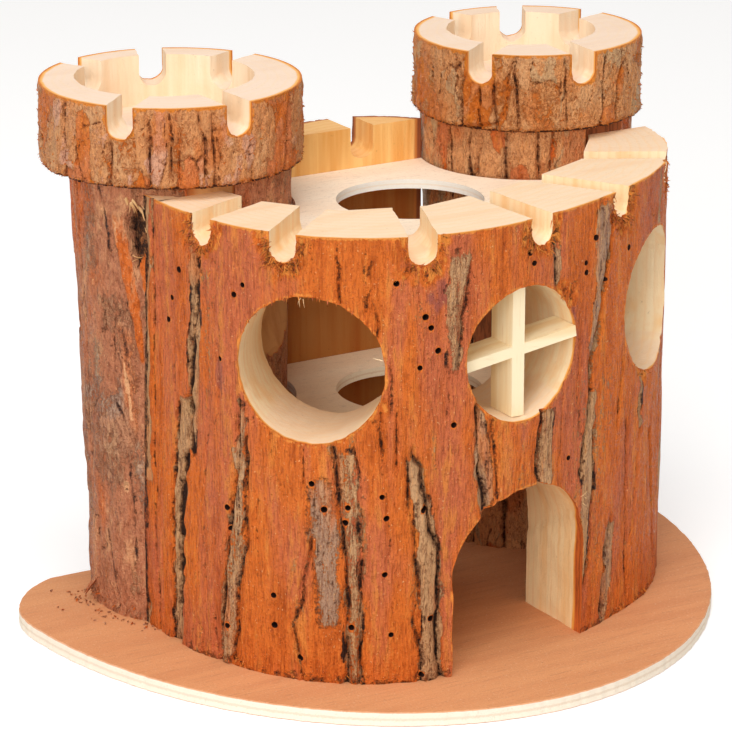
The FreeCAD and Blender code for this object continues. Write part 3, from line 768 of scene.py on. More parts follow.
scratch = np.maximum(scratch, np.clip(1.4 - np.hypot((u + 31.5) / 1.2, (z - 42) / 2.0), 0, 1))
orange = np.maximum(bare, 0.45 * soft(u, -43, -47) * soft(z, 98, 108) * soft(u, -62, -56))
blush = np.clip(0.95 + 0.45 * ripple(u, z, 7, 30, 53, girth) - 1.3 * orange, 0, 1)
grey_bark = bark_material(
    "tower_bark_grey", tint(222, 112, 44), tint(196, 126, 90), tint(196, 138, 102),
    tint(184, 148, 124), tint(118, 66, 44), tint(50, 28, 22), tint(238, 176, 126), 0.45, 0.6,
    (1200, 1200, 420), (420, 420, 260))
log_of_left = log_shape(left_tower_place, 29.2)
left_end_wood = sawn_material("left_tower_end", tint(244, 220, 180), tint(226, 186, 138),
                              tint(170, 90, 48), tint(222, 140, 62), log_of_left, 2.0, 2.0)
marks = {"furrow": furrow, "plate": plate * 0.7, "weathered": weathered * 0.8, "blush": blush,
         "rim": np.maximum(0.45 * bare * soft(ripple(u, z, 2, 9, 54), -0.2, 0.5), scratch)}
left_tower = log_piece("left_tower_log", left_tower_place, log_foot, tower_top, tower_radius, relief,
                       marks, [grey_bark, left_end_wood], ["left_tower"])


def scar_cutter(name, centre, angle, middle, tall, material):
    """Shallow hollow drawn by a knife: a level cylinder across the side at that angle. Its radius
    is half the chord squared plus the depth squared, over twice the depth."""
    depth = 5.0
    out = np.array([np.sin(np.radians(angle)), -np.cos(np.radians(angle)), 0.0])
    side = np.array([-out[1], out[0], 0.0])
    radius = (tall ** 2 / 4 + depth ** 2) / (2 * depth)
    foot = np.array([centre[0], centre[1], log_foot + middle])
    start = foot + out * (30.0 - depth + radius) - side * 60.0
    return rod_cutter(name, start, side, radius, 120.0, material, 0.1, 60, 240, 24)


scar_wood = sawn_material("scar_wood", tint(214, 160, 104), tint(190, 128, 76), tint(150, 84, 46),
                          tint(190, 116, 60), log_of_left, 0.6, 0.6)
seat = block_cutter("seat", (-110, -60, -6), (left_tower_place[0], seat_y, 140), scar_wood)
cut_away(left_tower, [seat, scar_cutter("scar", left_tower_place, 27.0, 87.0, 36.0, scar_wood)])

# the broken knot above the pocket, two bright threads across it, a torn sliver at the foot
knot_wood = sawn_material("knot_wood", tint(246, 216, 164), tint(206, 150, 92), tint(150, 84, 46),
                          tint(222, 160, 90), {**log_of_left, "Radius": 160.0}, 0.5, 0.5)
tower_grid = (degrees[:, 0], z[0])
dice = np.random.default_rng(57)
knot_turns = np.concatenate([np.linspace(-57.5, -45.5, 20) + dice.normal(0, 0.8, 20), [-54.5, -55.0]])
knot_heights = np.concatenate([np.linspace(123.5, 117.0, 20) + dice.normal(0, 1.0, 20), [107.2, 105.4]])
knot_reach = np.stack([dice.uniform(0.6, 1.3, 20), dice.uniform(0.2, 2.2, 20),
                       dice.uniform(-3.2, -1.0, 20)], -1)
knot_reach = np.concatenate([knot_reach, [(1.0, 3.6, 1.0), (1.0, 3.0, 1.6)]])
knot_widths = np.concatenate([dice.uniform(0.5, 1.2, 20), [0.28, 0.28]])
torn_fibres("knot_splinters", left_tower_place, tower_radius(knot_heights), tower_grid, relief,
            knot_turns, knot_heights, knot_reach, knot_widths, knot_wood, {}, 58)
count = 90
turns = np.concatenate([dice.uniform(-112, -42, count), [-96.0, -99.0, -93.0]])
heights = np.concatenate([dice.uniform(4.6, 8.0, count), [11.5, 10.0, 9.5]])
foot_reach = np.stack([dice.uniform(0.4, 1.3, count), dice.normal(0, 0.5, count),
                       dice.uniform(-1.4, -0.1, count)], -1)
foot_reach = np.concatenate([foot_reach, [(2.6, -2.5, -6.0), (2.2, -3.0, -4.5), (1.6, -1.0, -4.8)]])
foot_widths = np.concatenate([dice.uniform(0.25, 0.7, count), [1.9, 1.3, 1.0]])
torn_fibres("left_tower_foot_fibres", left_tower_place, tower_radius(heights), tower_grid, relief,
            turns, heights, foot_reach, foot_widths, grey_bark,
            {"plate": dice.uniform(0, 0.9, count + 3), "rim": 0.0, "furrow": dice.uniform(0, 0.6, count + 3),
             "weathered": 0.2, "blush": dice.uniform(0, 1, count + 3)}, 59)

# crumbs of bark on the board round the tower's foot
count = 70
turns = np.radians(dice.uniform(-118, -38, count))
out = 28.5 + dice.exponential(2.2, count)
roots = at_turn(left_tower_place, turns, out, 4.25)
ways = np.concatenate([dice.normal(0, 0.6, (count, 2)), dice.uniform(0.0, 0.25, (count, 1))], axis=1)
splinters("bark_crumbs", roots, ways, dice.uniform(0.35, 0.8, count), grey_bark,
          {"plate": dice.uniform(0, 1, count), "rim": 0.0, "furrow": dice.uniform(0, 0.5, count),
           "weathered": dice.uniform(0, 0.5, count), "blush": dice.uniform(0, 1, count)}, 60)


# ---- right tower --------------------------------------------------------------------------
# Whole log with thicker bark: tan and grey plates between dark furrows, red where plates fell
# off. Glued and nailed to the board, with a flat seat for the wall and a scar to the rooms.
def plated_bark(u, z, wide, tall, seed, around, depth=1.5):
    """Bark relief and marks: long furrows that wander between ridges, and between them plates,
    each with its own height and colour, parted by thin broken cracks and roughened by waves."""
    drift = u + ripple(u, z, 6, 9, seed, around) + 0.5 * ripple(u, z, 2, 3, seed + 1, around)
    shift = 2.2 * ripple(u, z, 4, 7, seed + 2, around)
    furrow = wandering(drift, z, wide, tall * 1.6, seed + 7, 0.0, 0.0)
    furrow = furrow * soft(ripple(u, z, 7, 16, seed + 8, around), -0.6, 0.4)
    gap, tone = plates(drift, z + shift, wide, tall, seed + 3, around)
    small_gap, small_tone = plates(drift, z + shift, wide * 0.4, tall * 0.42, seed + 4, around)
    broken = soft(ripple(u, z, 5, 6, seed + 9, around), -0.3, 0.4)
    thin = np.clip(1 - gap / 0.10, 0, 1) * (0.2 + 0.6 * broken)
    thinner = np.clip(1 - small_gap / 0.13, 0, 1) * 0.35 * broken
    relief = (depth * (0.4 * tone - 0.75 * furrow - 0.2) - 0.4 * thin - 0.25 * thinner
              + 0.35 * small_tone + 0.25 * ripple(u, z, 1.3, 3.0, seed + 5, around))
    worn = soft(ripple(u, z, 6, 14, seed + 6, around), 0.15, 0.55)
    return relief, {
        "furrow": np.maximum(np.maximum(furrow * 0.9, thin), thinner),
        "plate": np.clip(0.3 + 0.8 * tone + 0.3 * small_tone - worn - 0.4 * furrow, 0, 1),
        "weathered": soft(tone * 0.7 + small_tone * 0.4, 0.78, 0.95) * (1 - worn),
        "blush": np.clip(small_tone * 0.9 + 0.3 * tone, 0, 1),
        "rim": np.zeros_like(u)}


right_furrows = (-165, -141, -118, -95, -79, -65, -44, -26, 75, 98, 120, 143, 166)
u = degrees * 0.5
relief, marks = plated_bark(u, z, 8.0, 26.0, 71, girth, 1.8)
wobble = u + 0.5 * ripple(u, z, 3, 8, 75, girth)
for turn in right_furrows:
    dark = crack(wobble, z, (turn * 0.5,) * 2, (4.0, 127.0), 0.4)
    marks["furrow"] = np.maximum(marks["furrow"], 0.95 * dark)
    relief = relief - 1.5 * np.minimum(dark, 1)
# all of it set back under the outline, so that no plate is cut flat
relief = relief - 0.6
plated_brown = bark_material(
    "tower_bark_plated", tint(222, 110, 42), tint(218, 128, 78), tint(226, 162, 108),
    tint(198, 166, 124), tint(140, 70, 34), tint(64, 34, 20), tint(236, 150, 66), 0.42, 0.42,
    (1500, 1500, 420), (620, 620, 300))
log_of_right = log_shape(right_tower_place, 29.2)
right_end_wood = sawn_material("right_tower_end", tint(244, 220, 180), tint(226, 186, 138),
                               tint(170, 90, 48), tint(222, 140, 62), log_of_right, 2.0, 2.0)
right_tower = log_piece("right_tower_log", right_tower_place, log_foot, tower_top, tower_radius, relief,
                        marks, [plated_brown, right_end_wood], ["right_tower"])
seat = block_cutter("seat", (right_tower_place[0], -60, -6), (120, seat_y, 140), scar_wood)
cut_away(right_tower, [seat, scar_cutter("scar", right_tower_place, -41.0, 77.0, 66.0, scar_wood)])


# ---- back wall ----------------------------------------------------------------------------
# Slab sawn off a log: flat ochre face to the rooms, bark outwards, nailed between the towers,
# with round-bottomed notches across its top.
slab_left, slab_right, slab_face, slab_back = -20.3, 31.5, 54.0, 67.5
slab_top = 125.0
groove_width = 7.5
half_chord = (slab_right - slab_left) / 2
slab_radius = (half_chord ** 2 + (slab_back - slab_face) ** 2) / (2 * (slab_back - slab_face))
slab_axis = ((slab_left + slab_right) / 2, slab_back - slab_radius)
spread = np.degrees(np.arcsin(half_chord / slab_radius))
sweep, z = np.meshgrid(np.linspace(-spread, spread, 150), np.linspace(log_foot, slab_top, 150),
                       indexing="ij")
u = np.radians(sweep) * slab_radius
relief, marks = plated_bark(u, z, 7.0, 24.0, 91, 300.0, 1.2)
out = slab_radius + (relief - 0.6) * soft(np.abs(sweep), spread, spread - 6)
bark_side = np.stack([slab_axis[0] + np.sin(np.radians(sweep)) * out,
                      slab_axis[1] + np.cos(np.radians(sweep)) * out, z], -1)
face_side = np.stack([np.broadcast_to(bark_side[:, :1, 0], (150, 2)), np.full((150, 2), slab_face),
                      np.broadcast_to(np.array([slab_top, log_foot]), (150, 2))], -1)
grid = np.concatenate([bark_side, face_side], axis=1)
slab_mesh = grid_mesh("back_slab", grid, "columns", pad_marks(marks, 2))
log_of_slab = log_shape(slab_axis, slab_radius)
# the slab wood's last colour is painted shade on its face under the roof
slab_wood = sawn_material("slab_wood", tint(252, 206, 132), tint(234, 166, 84), tint(150, 84, 50),
                          tint(200, 124, 60), log_of_slab, 1.6, 1.6, (0.52, 0.32, 0.2, 1.0))
slab = show("back_slab", slab_mesh, [plated_brown, slab_wood], ["back_wall"])
wood_from(slab_mesh, grid, 149)
cut_away(slab, [groove_cutter("notch", (place_x, 44.0), 180.0, slab_top, 9.0, groove_width, 40.0,
                              slab_wood, seed)
                for place_x, seed in ((-12.4, 5), (12.3, 6))])


# ---- front wall ---------------------------------------------------------------------------
# Front half of a big log, hollowed with straight saw cuts and glued on with its bark: red and
# orange fibres, black furrows, tan and grey plates, beetle holes. An arched doorway, three
# bored windows and six grooves across the top are cut through it.
wall_axis = (1.4, 28.0)
wall_radius, wall_three_lobe, wall_two_lobe = 76.8, 5.1, 1.3
wall_top = 124.0
bark_degree = 1.34

# grooves across the top: their angles, and the height of the middle of their round bottoms
wall_grooves = (-67.5, -48.0, -22.0, 5.0, 32.0, 60.5)
groove_middle = 120.15

# openings: two side windows at these angles, the middle window and the doorway at these X
window_height = 88.7
side_windows, side_radius = (-43.0, 48.5), 19.5
cross_x, cross_radius = 1.8, 18.0
door_x, door_half, door_spring = 2.9, 22.5, 29.5


def wall_outline(angle):
    """Radius of the log at an angle: a circle plus a three-lobed and a two-lobed swell."""
    return (wall_radius + wall_three_lobe * np.cos(np.radians(3 * (angle + 36.0)))
            + wall_two_lobe * np.cos(np.radians(2 * (angle - 52.0))))


def wall_end(sign):
    """Angle at which the outline comes back to the towers' fronts, 10 before the axis."""
    angle = np.linspace(70, 90, 2001)
    return sign * np.interp(-10.0, -wall_outline(sign * angle) * np.cos(np.radians(angle)), angle)


columns, rows = 620, 118
angles = np.linspace(wall_end(-1), wall_end(1), columns)
radius = wall_outline(angles)
arc = np.concatenate([[0], np.cumsum(np.radians(np.diff(angles)) * (radius[1:] + radius[:-1]) / 2)])
arc = arc - np.interp(0.0, angles, arc)
angle, z = np.meshgrid(angles, np.linspace(log_foot, wall_top, rows), indexing="ij")
u = np.broadcast_to(arc[:, None], angle.shape)
drift = u + 0.6 * ripple(u, z, 4, 12, 101) + 0.5 * ripple(u, z, 1.8, 3.5, 102)
sway = u + ripple(u, z, 5, 9, 116) + 0.8 * ripple(u, z, 1.7, 2.8, 117)


def along_bark(points):
    """Heights and distances along the bark for (height, angle) points."""
    heights, turns = np.array(points, dtype=float).T
    return np.interp(turns, angles, arc), heights


# furrows: half width, depth, and (height, angle) points from top to bottom
furrows = [
    (1.3, 1.2, [(112, -69), (96, -69.5), (87, -70.7), (73, -71.8), (60, -71.1)]),
    (2.6, 1.5, [(72, -72.1), (58, -73), (51, -73.7), (41, -75.5), (27, -75.6), (16, -75.8), (4, -76.7)]),
    (0.3, 1.0, [(71, -75.7), (55, -77), (42, -77.8), (24, -78.1), (4, -78.3)]),
    (0.35, 1.0, [(116, -82), (75, -82.6), (41, -83.4)]),
    (0.4, 1.5, [(77, -57.9), (62, -57.5), (49, -59.3), (42, -60.2), (33, -61.4), (23, -61.9), (4, -63)]),
    (0.25, 0.9, [(68, -55.8), (53, -55.9), (39, -56.4), (29, -57.8), (17, -58.5), (4, -60)]),
    (0.3, 1.0, [(67, -44.4), (59, -44.2)]),
    (0.3, 1.1, [(42, -42.6), (34, -44.1), (26, -44.8), (19, -46.1), (11, -44.9), (4, -44.6)]),
    (0.4, 1.4, [(68, -38.5), (62, -37.9), (48, -36.8), (38, -36.2), (25, -35.8), (13, -35.5), (4, -35.8)]),
    (0.35, 1.2, [(68, -34.6), (61, -34), (53, -33.5), (30, -33.2), (4, -33.2)]),
    (0.3, 1.0, [(65, -24.6), (51, -24.4), (42, -23.2), (27, -22.4), (19, -23.4), (4, -22)]),
    (0.5, 1.8, [(67, -23.8), (62, -22.2), (52, -21.4), (45, -20.5), (40, -18.6), (28, -18.2),
                (17, -18.9), (4, -18.4)]),
    (0.8, 1.6, [(76, -10.9), (59, -10.3), (54, -8.9), (47, -8.4)]),
    (0.25, 0.8, [(72, -7.4), (51, -5.8)]),
    (0.5, 1.8, [(72, 5.1), (52, 4.6)]),
    (0.5, 1.8, [(72, 20.7), (57, 18.8), (51, 18.2)]),
    (0.4, 1.4, [(60, 22.7), (46, 22.7), (30, 22.8), (19, 20.7)]),
    (0.9, 1.8, [(32, 30.5), (23, 29.5), (16, 28.4), (4, 28.4)]),
    (0.3, 1.0, [(50, 47.8), (30, 50.5), (9, 53.6)]),
    (0.3, 1.0, [(63, 41.5), (54, 41.6)]),
    (0.6, 2.2, [(121, 28.6), (110, 26.9), (100, 25), (94, 24.3), (88, 23.7), (81, 20.8), (64, 20.7)]),
    (0.7, 0.7, [(117, 8.8), (106, 8.9)]),
    (0.3, 0.9, [(115, -12.2), (102, -13.9), (89, -14.5)]),
    (0.2, 0.6, [(117, -37.5), (108, -37.2)]),
    (0.2, 0.6, [(117, -31.2), (106, -32)]),
    (0.25, 0.8, [(106, -30.7), (99, -30.4)]),
    (0.2, 0.6, [(90, -28.1), (79, -28.1)]),
    (0.25, 0.8, [(78, -30.1), (68, -29.9)]),
    (0.2, 0.6, [(78, -26.8), (63, -26.8)]),
    (0.3, 0.9, [(76, 32.8), (60, 32)]),
    (0.35, 1.2, [(122, 66), (60, 65.2), (4, 64.6)]),
    (0.3, 1.0, [(122, 74.5), (4, 74)]),
    (0.2, 0.7, [(58, 36), (30, 37), (8, 38.5)]),
    (0.2, 0.7, [(56, 58), (28, 59.5), (6, 60)]),
]
# strips of weathered bark: left line, right line, tan share, grey share, how far they stand out
strips = [
    ([(73, -75.8), (50, -77.4), (4, -78.2)], [(73, -71.5), (50, -73), (4, -75)], 1.0, 0.25, -0.8),
    ([(124, -70.2), (96, -71.3), (60, -73)], [(124, -67.2), (96, -68), (60, -69.8)], 0.9, 0.2, -0.3),
    ([(77, -58), (49, -59.3), (23, -61.9), (4, -63)],
     [(77, -56), (39, -56.4), (17, -58.5), (4, -60)], 0.62, 0.35, 0.5),
    ([(57, -43), (43, -42.5), (32, -41.6), (20, -40.7)],
     [(60, -39.4), (49, -37.5), (20, -37.3)], 0.66, 0.66, 0.2),
    ([(68, -38.5), (48, -36.8), (25, -35.8), (4, -35.8)],
     [(68, -34.6), (53, -33.5), (4, -33.2)], 0.55, 0.1, 0.3),
    ([(65, -24.6), (42, -23.2), (4, -22)], [(62, -22.2), (40, -18.6), (4, -18.4)], 0.95, 0.2, 0.3),
    ([(76, -12), (47, -9.6)], [(76, -9.6), (47, -7.2)], 0.9, 0.5, -0.5),
    ([(72, 5.4), (51, 5.0)], [(72, 8.3), (51, 7.8)], 1.0, 0.25, 0.3),
    ([(72, 20.7), (51, 18.4), (19, 19.6)], [(72, 23.4), (46, 22.7), (19, 20.9)], 1.0, 0.1, 0.2),
    ([(122, 22.4), (113, 21.2), (96, 20.9), (84, 19)], [(122, 28), (100, 24.8), (84, 21)], 0.95, 0.6, 0.4),
    ([(119, -16.6), (102, -17.4), (88, -17)], [(115, -12.2), (102, -13.9), (88, -14.6)], 0.6, 0.25, 0.2),
    ([(32, 28.9), (4, 27.2)], [(32, 32), (4, 29.8)], 0.9, 0.5, -0.4),
    ([(117, 7.6), (105, 7.6)], [(117, 10), (105, 10.2)], 0.9, 0.5, -0.2),
    ([(70, 41.6), (54, 41.2)], [(70, 43), (54, 42.6)], 1.0, 0.1, 0.1),
]
furrow = np.zeros_like(u)
layered = np.maximum(wandering(drift, z, 2.6, 26, 107, 0.0, 0.0),
                     0.9 * wandering(drift, z, 1.5, 12, 127, 0.0, 0.0))
relief = (0.7 * ripple(u, z, 20, 90, 103) + 0.35 * ripple(u, z, 6, 45, 104)
          + 0.22 * ripple(drift, z, 2.2, 16, 105) + 0.12 * ripple(u, z, 1.0, 5, 106) - 0.5)
tan_share = np.zeros_like(u)
grey_share = np.zeros_like(u)
for half, depth, points in furrows:
    line_u, line_z = along_bark(points)
    dark = crack(drift, z, line_u, line_z, 0.75 * half)
    wide = crack(drift, z, line_u, line_z, half + 0.5)
    furrow = np.maximum(furrow, dark)
    relief = relief - depth * np.minimum(dark, 1) - 0.25 * np.minimum(wide, 1)
    tan_share = np.maximum(tan_share, np.minimum(wide, 1) * min(depth / 2.8, 0.6))
for left, right, tan_part, grey_part, lift in strips:
    left_u, left_z = along_bark(left)
    right_u, right_z = along_bark(right)
    inside = between(sway, z, zip(left_z, left_u), zip(right_z, right_u), 1.6 if grey_part > 0.65 else 0.7)
    tan_share = np.maximum(tan_share, inside * tan_part)
    grey_share = np.maximum(grey_share, inside * grey_part)
    relief = relief + lift * inside
    border = 1.6 * np.abs(inside - 0.35) + 0.8 * ripple(u, z, 3, 7, 115)
    border_line = np.clip(0.95 - border, 0, 1.1) * (inside > 0.05) * (1 - 0.7 * grey_part)
    furrow = np.maximum(furrow, border_line)
    furrow = np.maximum(furrow, (0.85 + 0.35 * ripple(u, z, 3, 5, 118)) * layered * inside)
# finer cracks everywhere, more of them towards both ends of the wall
hairline = wandering(drift, z, 6.0, 42, 108, 0.0, 0.0)
often = soft(ripple(u, z, 10, 20, 109) + 0.5 * soft(np.abs(angle), 30, 70), 0.15, 0.6)
furrow = np.maximum(furrow, 0.72 * hairline * often)
relief = relief - 0.5 * hairline * often
worn = soft(ripple(drift, z, 4.5, 34, 110), 0.5, 0.8) * (0.3 + 0.5 * soft(angle, 25, 55))
tan_share = np.maximum(tan_share, worn)


def edge_distance():
    """Distance on the bark to the nearest sawn edge, and to the nearest groove: the top, the
    windows, the doorway and the grooves, each as a plain distance to its circle, arch or U."""
    x = wall_axis[0] + np.sin(np.radians(angle)) * wall_outline(angle)
    y = wall_axis[1] - np.cos(np.radians(angle)) * wall_outline(angle)
    found = wall_top - z
    grooves = np.full(z.shape, 99.0)
    for turn in side_windows:
        side = (x - wall_axis[0]) * np.cos(np.radians(turn)) + (y - wall_axis[1]) * np.sin(np.radians(turn))
        front = (x - wall_axis[0]) * np.sin(np.radians(turn)) - (y - wall_axis[1]) * np.cos(np.radians(turn))
        hole = np.hypot(side, z - window_height) - side_radius
        found = np.where(front > 0, np.minimum(found, hole), found)
    front = np.abs(angle) < 60
    hole = np.hypot(x - cross_x, z - window_height) - cross_radius
    found = np.where(front, np.minimum(found, hole), found)
    arch = np.where(z > door_spring, np.hypot(x - door_x, z - door_spring), np.abs(x - door_x)) - door_half
    found = np.where(front, np.minimum(found, arch), found)
    for turn in wall_grooves:
        aside = (angle - turn) * np.radians(1.0) * wall_outline(angle)
        groove = np.where(z < groove_middle, np.hypot(aside, z - groove_middle), np.abs(aside))
        groove = groove - groove_width / 2
        grooves = np.minimum(grooves, groove)
    return np.minimum(found, grooves), grooves


near_edge, near_groove = edge_distance()
torn = soft(near_groove + 2.6 * ripple(u, z, 1.8, 2.6, 119), 5.2, 1.2)
for turn, height, wide, tall in ((12.1, 101.3, 5.0, 5.5), (43.0, 72.7, 6.0, 8.0), (-29.0, 79.5, 1.5, 3.0)):
    away = np.hypot((angle - turn) * bark_degree / wide, (z - height) / tall)
    torn = np.maximum(torn, soft(away + 0.35 * ripple(u, z, 1.8, 2.6, 125), 1.0, 0.3))
bruise = np.zeros_like(u)
for turn, height, wide, tall in ((-18.5, 107.5, 4.5, 6.0), (13.5, 95.0, 3.0, 4.0),
                                 (-46.0, 82.0, 2.5, 7.0), (-62.0, 84.0, 2.0, 6.0)):
    away = np.hypot((angle - turn) * bark_degree / wide, (z - height) / tall)
    bruise = np.maximum(bruise, soft(away + 0.4 * ripple(u, z, 2.0, 4.0, 126), 1.0, 0.2))
fringe = soft(z + 1.6 * ripple(u, z, 2.0, 3.0, 112), 7.0, 4.6)
rim = np.maximum(soft(near_edge + 0.3 * ripple(u, z, 1.1, 1.6, 111), 1.2, 0.0),
                 0.95 * torn * soft(ripple(u, z, 1.0, 1.8, 120), -0.4, 0.3))
furrow = np.maximum(furrow, 0.62 * np.maximum(fringe, torn * soft(ripple(u, z, 1.2, 2.2, 123), -0.3, 0.4)))
relief = relief - 0.7 * torn + 0.5 * torn * ripple(u, z, 1.0, 1.3, 124)
blush = np.clip(0.42 + 0.55 * ripple(u, z, 11, 40, 113) + 0.3 * ripple(drift, z, 3, 18, 114) - torn, 0, 1)
layers = {"furrow": furrow, "plate": tan_share, "weathered": grey_share, "blush": blush, "rim": rim,
          "bruise": bruise}

turn = np.radians(angle)
out = wall_outline(angle) + np.minimum(relief, just_inside)
outer = at_turn(wall_axis, turn, out, z)

# the hollow: seven flat cuts between these angles, the log left thicker at the door
saw_angles = -88.0 + 24.0 * np.arange(8)
saw_reach = wall_outline(saw_angles) - (27.5 - 8.0 * (saw_angles / 80.0) ** 2)
saw_x = wall_axis[0] + np.sin(np.radians(saw_angles)) * saw_reach
saw_y = wall_axis[1] - np.cos(np.radians(saw_angles)) * saw_reach
first = (saw_y[0] - seat_y) / (saw_y[0] - saw_y[1])
saw_x = np.append(np.concatenate([[saw_x[0] + first * (saw_x[1] - saw_x[0])], saw_x[1:]]), saw_x[-1])
saw_y = np.append(np.concatenate([[seat_y], saw_y[1:]]), seat_y)
run = np.concatenate([[0], np.cumsum(np.hypot(np.diff(saw_x), np.diff(saw_y)))])
even = np.linspace(0, run[-1], columns)
inner_x, inner_y = np.interp(even, run, saw_x), np.interp(even, run, saw_y)
down = np.linspace(wall_top, log_foot, 7)
inner = np.stack([np.broadcast_to(inner_x[:, None], (columns, 7)),
                  np.broadcast_to(inner_y[:, None], (columns, 7)),
                  np.broadcast_to(down, (columns, 7))], -1)
share = np.array([0.06, 0.3, 0.6])[None, :, None]
top = outer[:, -1:, :] * (1 - share) + inner[:, :1, :] * share
grid = np.concatenate([outer, top, inner], axis=1)
wall_mesh = grid_mesh("front_log", grid, "columns", pad_marks(layers, 10))
red_bark = bark_material(
    "wall_bark_red", tint(228, 116, 44), tint(212, 112, 70), tint(206, 160, 114),
    tint(180, 144, 118), tint(112, 58, 30), tint(40, 22, 16), tint(242, 150, 66), 0.55, 0.25,
    (2000, 2000, 200), (700, 700, 190))
log_of_wall = log_shape(wall_axis, wall_radius, wall_three_lobe, wall_two_lobe)
wall_wood = sawn_material("wall_sawn_wood", tint(253, 230, 190), tint(248, 206, 150),
                          tint(206, 104, 44), tint(240, 166, 74), log_of_wall, 4.6, 0.8)
wall = show("front_log", wall_mesh, [red_bark, wall_wood], ["front_wall"])
wood_from(wall_mesh, grid, rows - 1)


def doorway_cutter():
    """Arch profile, 45 wide and 48 high, carried straight back, its line wavering a little; on
    the right it steps out by a fiftieth of the radius above a slanting line."""
    bend = np.linspace(0, np.pi, 61)
    x = np.concatenate([-door_half * np.cos(bend), np.full(24, door_half), np.full(24, -door_half)])
    height = np.concatenate([door_spring + door_half * np.sin(bend), np.linspace(28.4, -4, 24),
                             np.linspace(-4, 28.4, 24)])
    length = float(len(x))
    profile, way = np.meshgrid(np.arange(len(x)), np.linspace(-70, 10, 110), indexing="ij")
    waver = (1 + 0.012 * ripple(profile * 1.0, way, 3, 9, 121, length)
             + 0.006 * ripple(profile * 1.0, way, 1.2, 2, 122, length))
    waver = waver + 0.022 * (x[profile] > 4) * soft(height[profile] + 0.52 * way, 18.2, 19.0)
    tall = height[profile]
    tall = np.where(tall > door_spring, door_spring + (tall - door_spring) * waver, tall)
    return cutter_mesh("doorway", np.stack([door_x + x[profile] * waver, way, tall], -1), wall_wood)


def heading(angle):
    """Unit vector in plan."""
    return np.array([np.sin(np.radians(angle)), -np.cos(np.radians(angle)), 0.0])


openings = [doorway_cutter()]
for turn in side_windows:
    start = np.array([*wall_axis, window_height]) + 10.0 * heading(turn)
    openings.append(rod_cutter("side_window", start, heading(turn), side_radius, 90.0, wall_wood, 0.16, 131))
openings.append(rod_cutter("cross_window", (cross_x, wall_axis[1], window_height), (0, -1, 0),
                           cross_radius, 95.0, wall_wood, 0.16, 133))
for number, turn in enumerate(wall_grooves):
    start = np.array(wall_axis) + 10.0 * heading(turn)[:2]
    openings.append(groove_cutter("groove", start, turn, wall_top, 7.6, groove_width, 85.0,
                                  wall_wood, 140 + number))
cut_away(wall, openings)

# beetle holes: angle and height
beetle_holes = [
    (-56.3, 109), (-58.3, 106), (-74.2, 108), (-77, 99.6), (-78.5, 93.2), (-61.9, 88), (-27, 112.3),
    (-21.6, 103), (-20.5, 100), (-19.1, 93.7), (-22.6, 89.7), (-15.8, 73.2), (1.3, 115.4), (2.3, 112.4),
    (21.5, 114), (18.5, 108), (18.6, 105.4), (34.4, 107.5), (25.5, 101.4), (21.4, 84.7), (14, 56),
    (-42.4, 58.7), (-40.1, 52), (-35.7, 52.8), (-36.2, 48.7), (-29.5, 55.7), (-28.7, 49.8), (-21.7, 51.4),
    (-29, 34.5), (-20.3, 21.4), (-27.8, 17.7), (-35.1, 20), (-44.8, 10.3), (-22, 5.8), (-60.7, 47.8),
    (-60.1, 42), (-50.2, 26.5), (-50.1, 18.2), (-60.8, 15)]
# the holes' inner walls are painted near black: painted shade inside the holes
hole_shade, tree = new_material("beetle_hole_painted_shade")
looks = use(tree, grain, Scale=(2000, 2000, 2000), Grit=2000.0)
hole_colour = mixed(tree, looks["Fine"], tint(30, 16, 12), tint(60, 28, 18))
finish_surface(tree, hole_colour, 0.9, looks["Grit"], 0.0001)
pins = []
for number, (turn, height) in enumerate(beetle_holes):
    start = np.array([*wall_axis, height]) + (wall_outline(turn) - 5.0) * heading(turn)
    size = 0.72 + 0.16 * ((number * 7) % 5) / 4
    pins.append(rod_cutter("beetle", start, heading(turn), size, 9.0, hole_shade, 0.04, 150, 12, 2))
cut_away(wall, pins)

# the left edge of the bark, run on past the flat end of the wall until it meets the tower, with
# a pale torn line where they meet and a dark line of painted shade right at the contact
share, height = np.meshgrid(np.linspace(0, 1, 40), np.linspace(log_foot, wall_top, 118), indexing="ij")
turn = np.radians(wall_end(-1) + 0.8 - 10.6 * share)
run = 13.5 * share
rough = 0.35 * ripple(run, height, 5, 26, 171) + 0.25 * ripple(run, height, 1.6, 9, 172) - 0.5
seam = crack(run + 0.8 * ripple(run, height, 4, 9, 173), height, (3.2, 4.6, 3.0), (4.0, 60.0, 124.0), 0.25)
rough = np.minimum(rough - np.minimum(seam, 1), just_inside)
out = wall_outline(np.degrees(turn)) + rough - 0.6 * soft(share, 0.1, 0.0)
lip = at_turn(wall_axis, turn, out, height)
away = np.hypot(lip[..., 0] - left_tower_place[0], lip[..., 1] - left_tower_place[1]) - tower_radius(height)
away = away + 0.6 * ripple(run, height, 3, 12, 174) + 0.4 * ripple(run, height, 1.2, 2.5, 175)
pale = soft(away, 1.9, 1.1) * soft(ripple(run, height, 9, 30, 176), -0.7, -0.2)
ends = [-1, 0]
inner = at_turn(wall_axis, turn[:, ends], out[:, ends] - 6.0, height[:, ends])
grid = np.concatenate([lip, inner], axis=1)
# the furrow right against the tower is painted shade: a dark contact line
layers = {"furrow": np.maximum(seam, 0.9 * soft(away, 0.9, 0.3)), "plate": pale, "weathered": 0.0 * pale,
          "blush": np.clip(0.5 + 0.5 * ripple(run, height, 6, 20, 177), 0, 1), "rim": 0.35 * pale,
          "bruise": 0.0 * pale}
lip_mesh = grid_mesh("wall_bark_edge", grid, "columns", pad_marks(layers, 2))
show("wall_bark_edge", lip_mesh, [red_bark, wall_wood])
wood_from(lip_mesh, grid, 117)


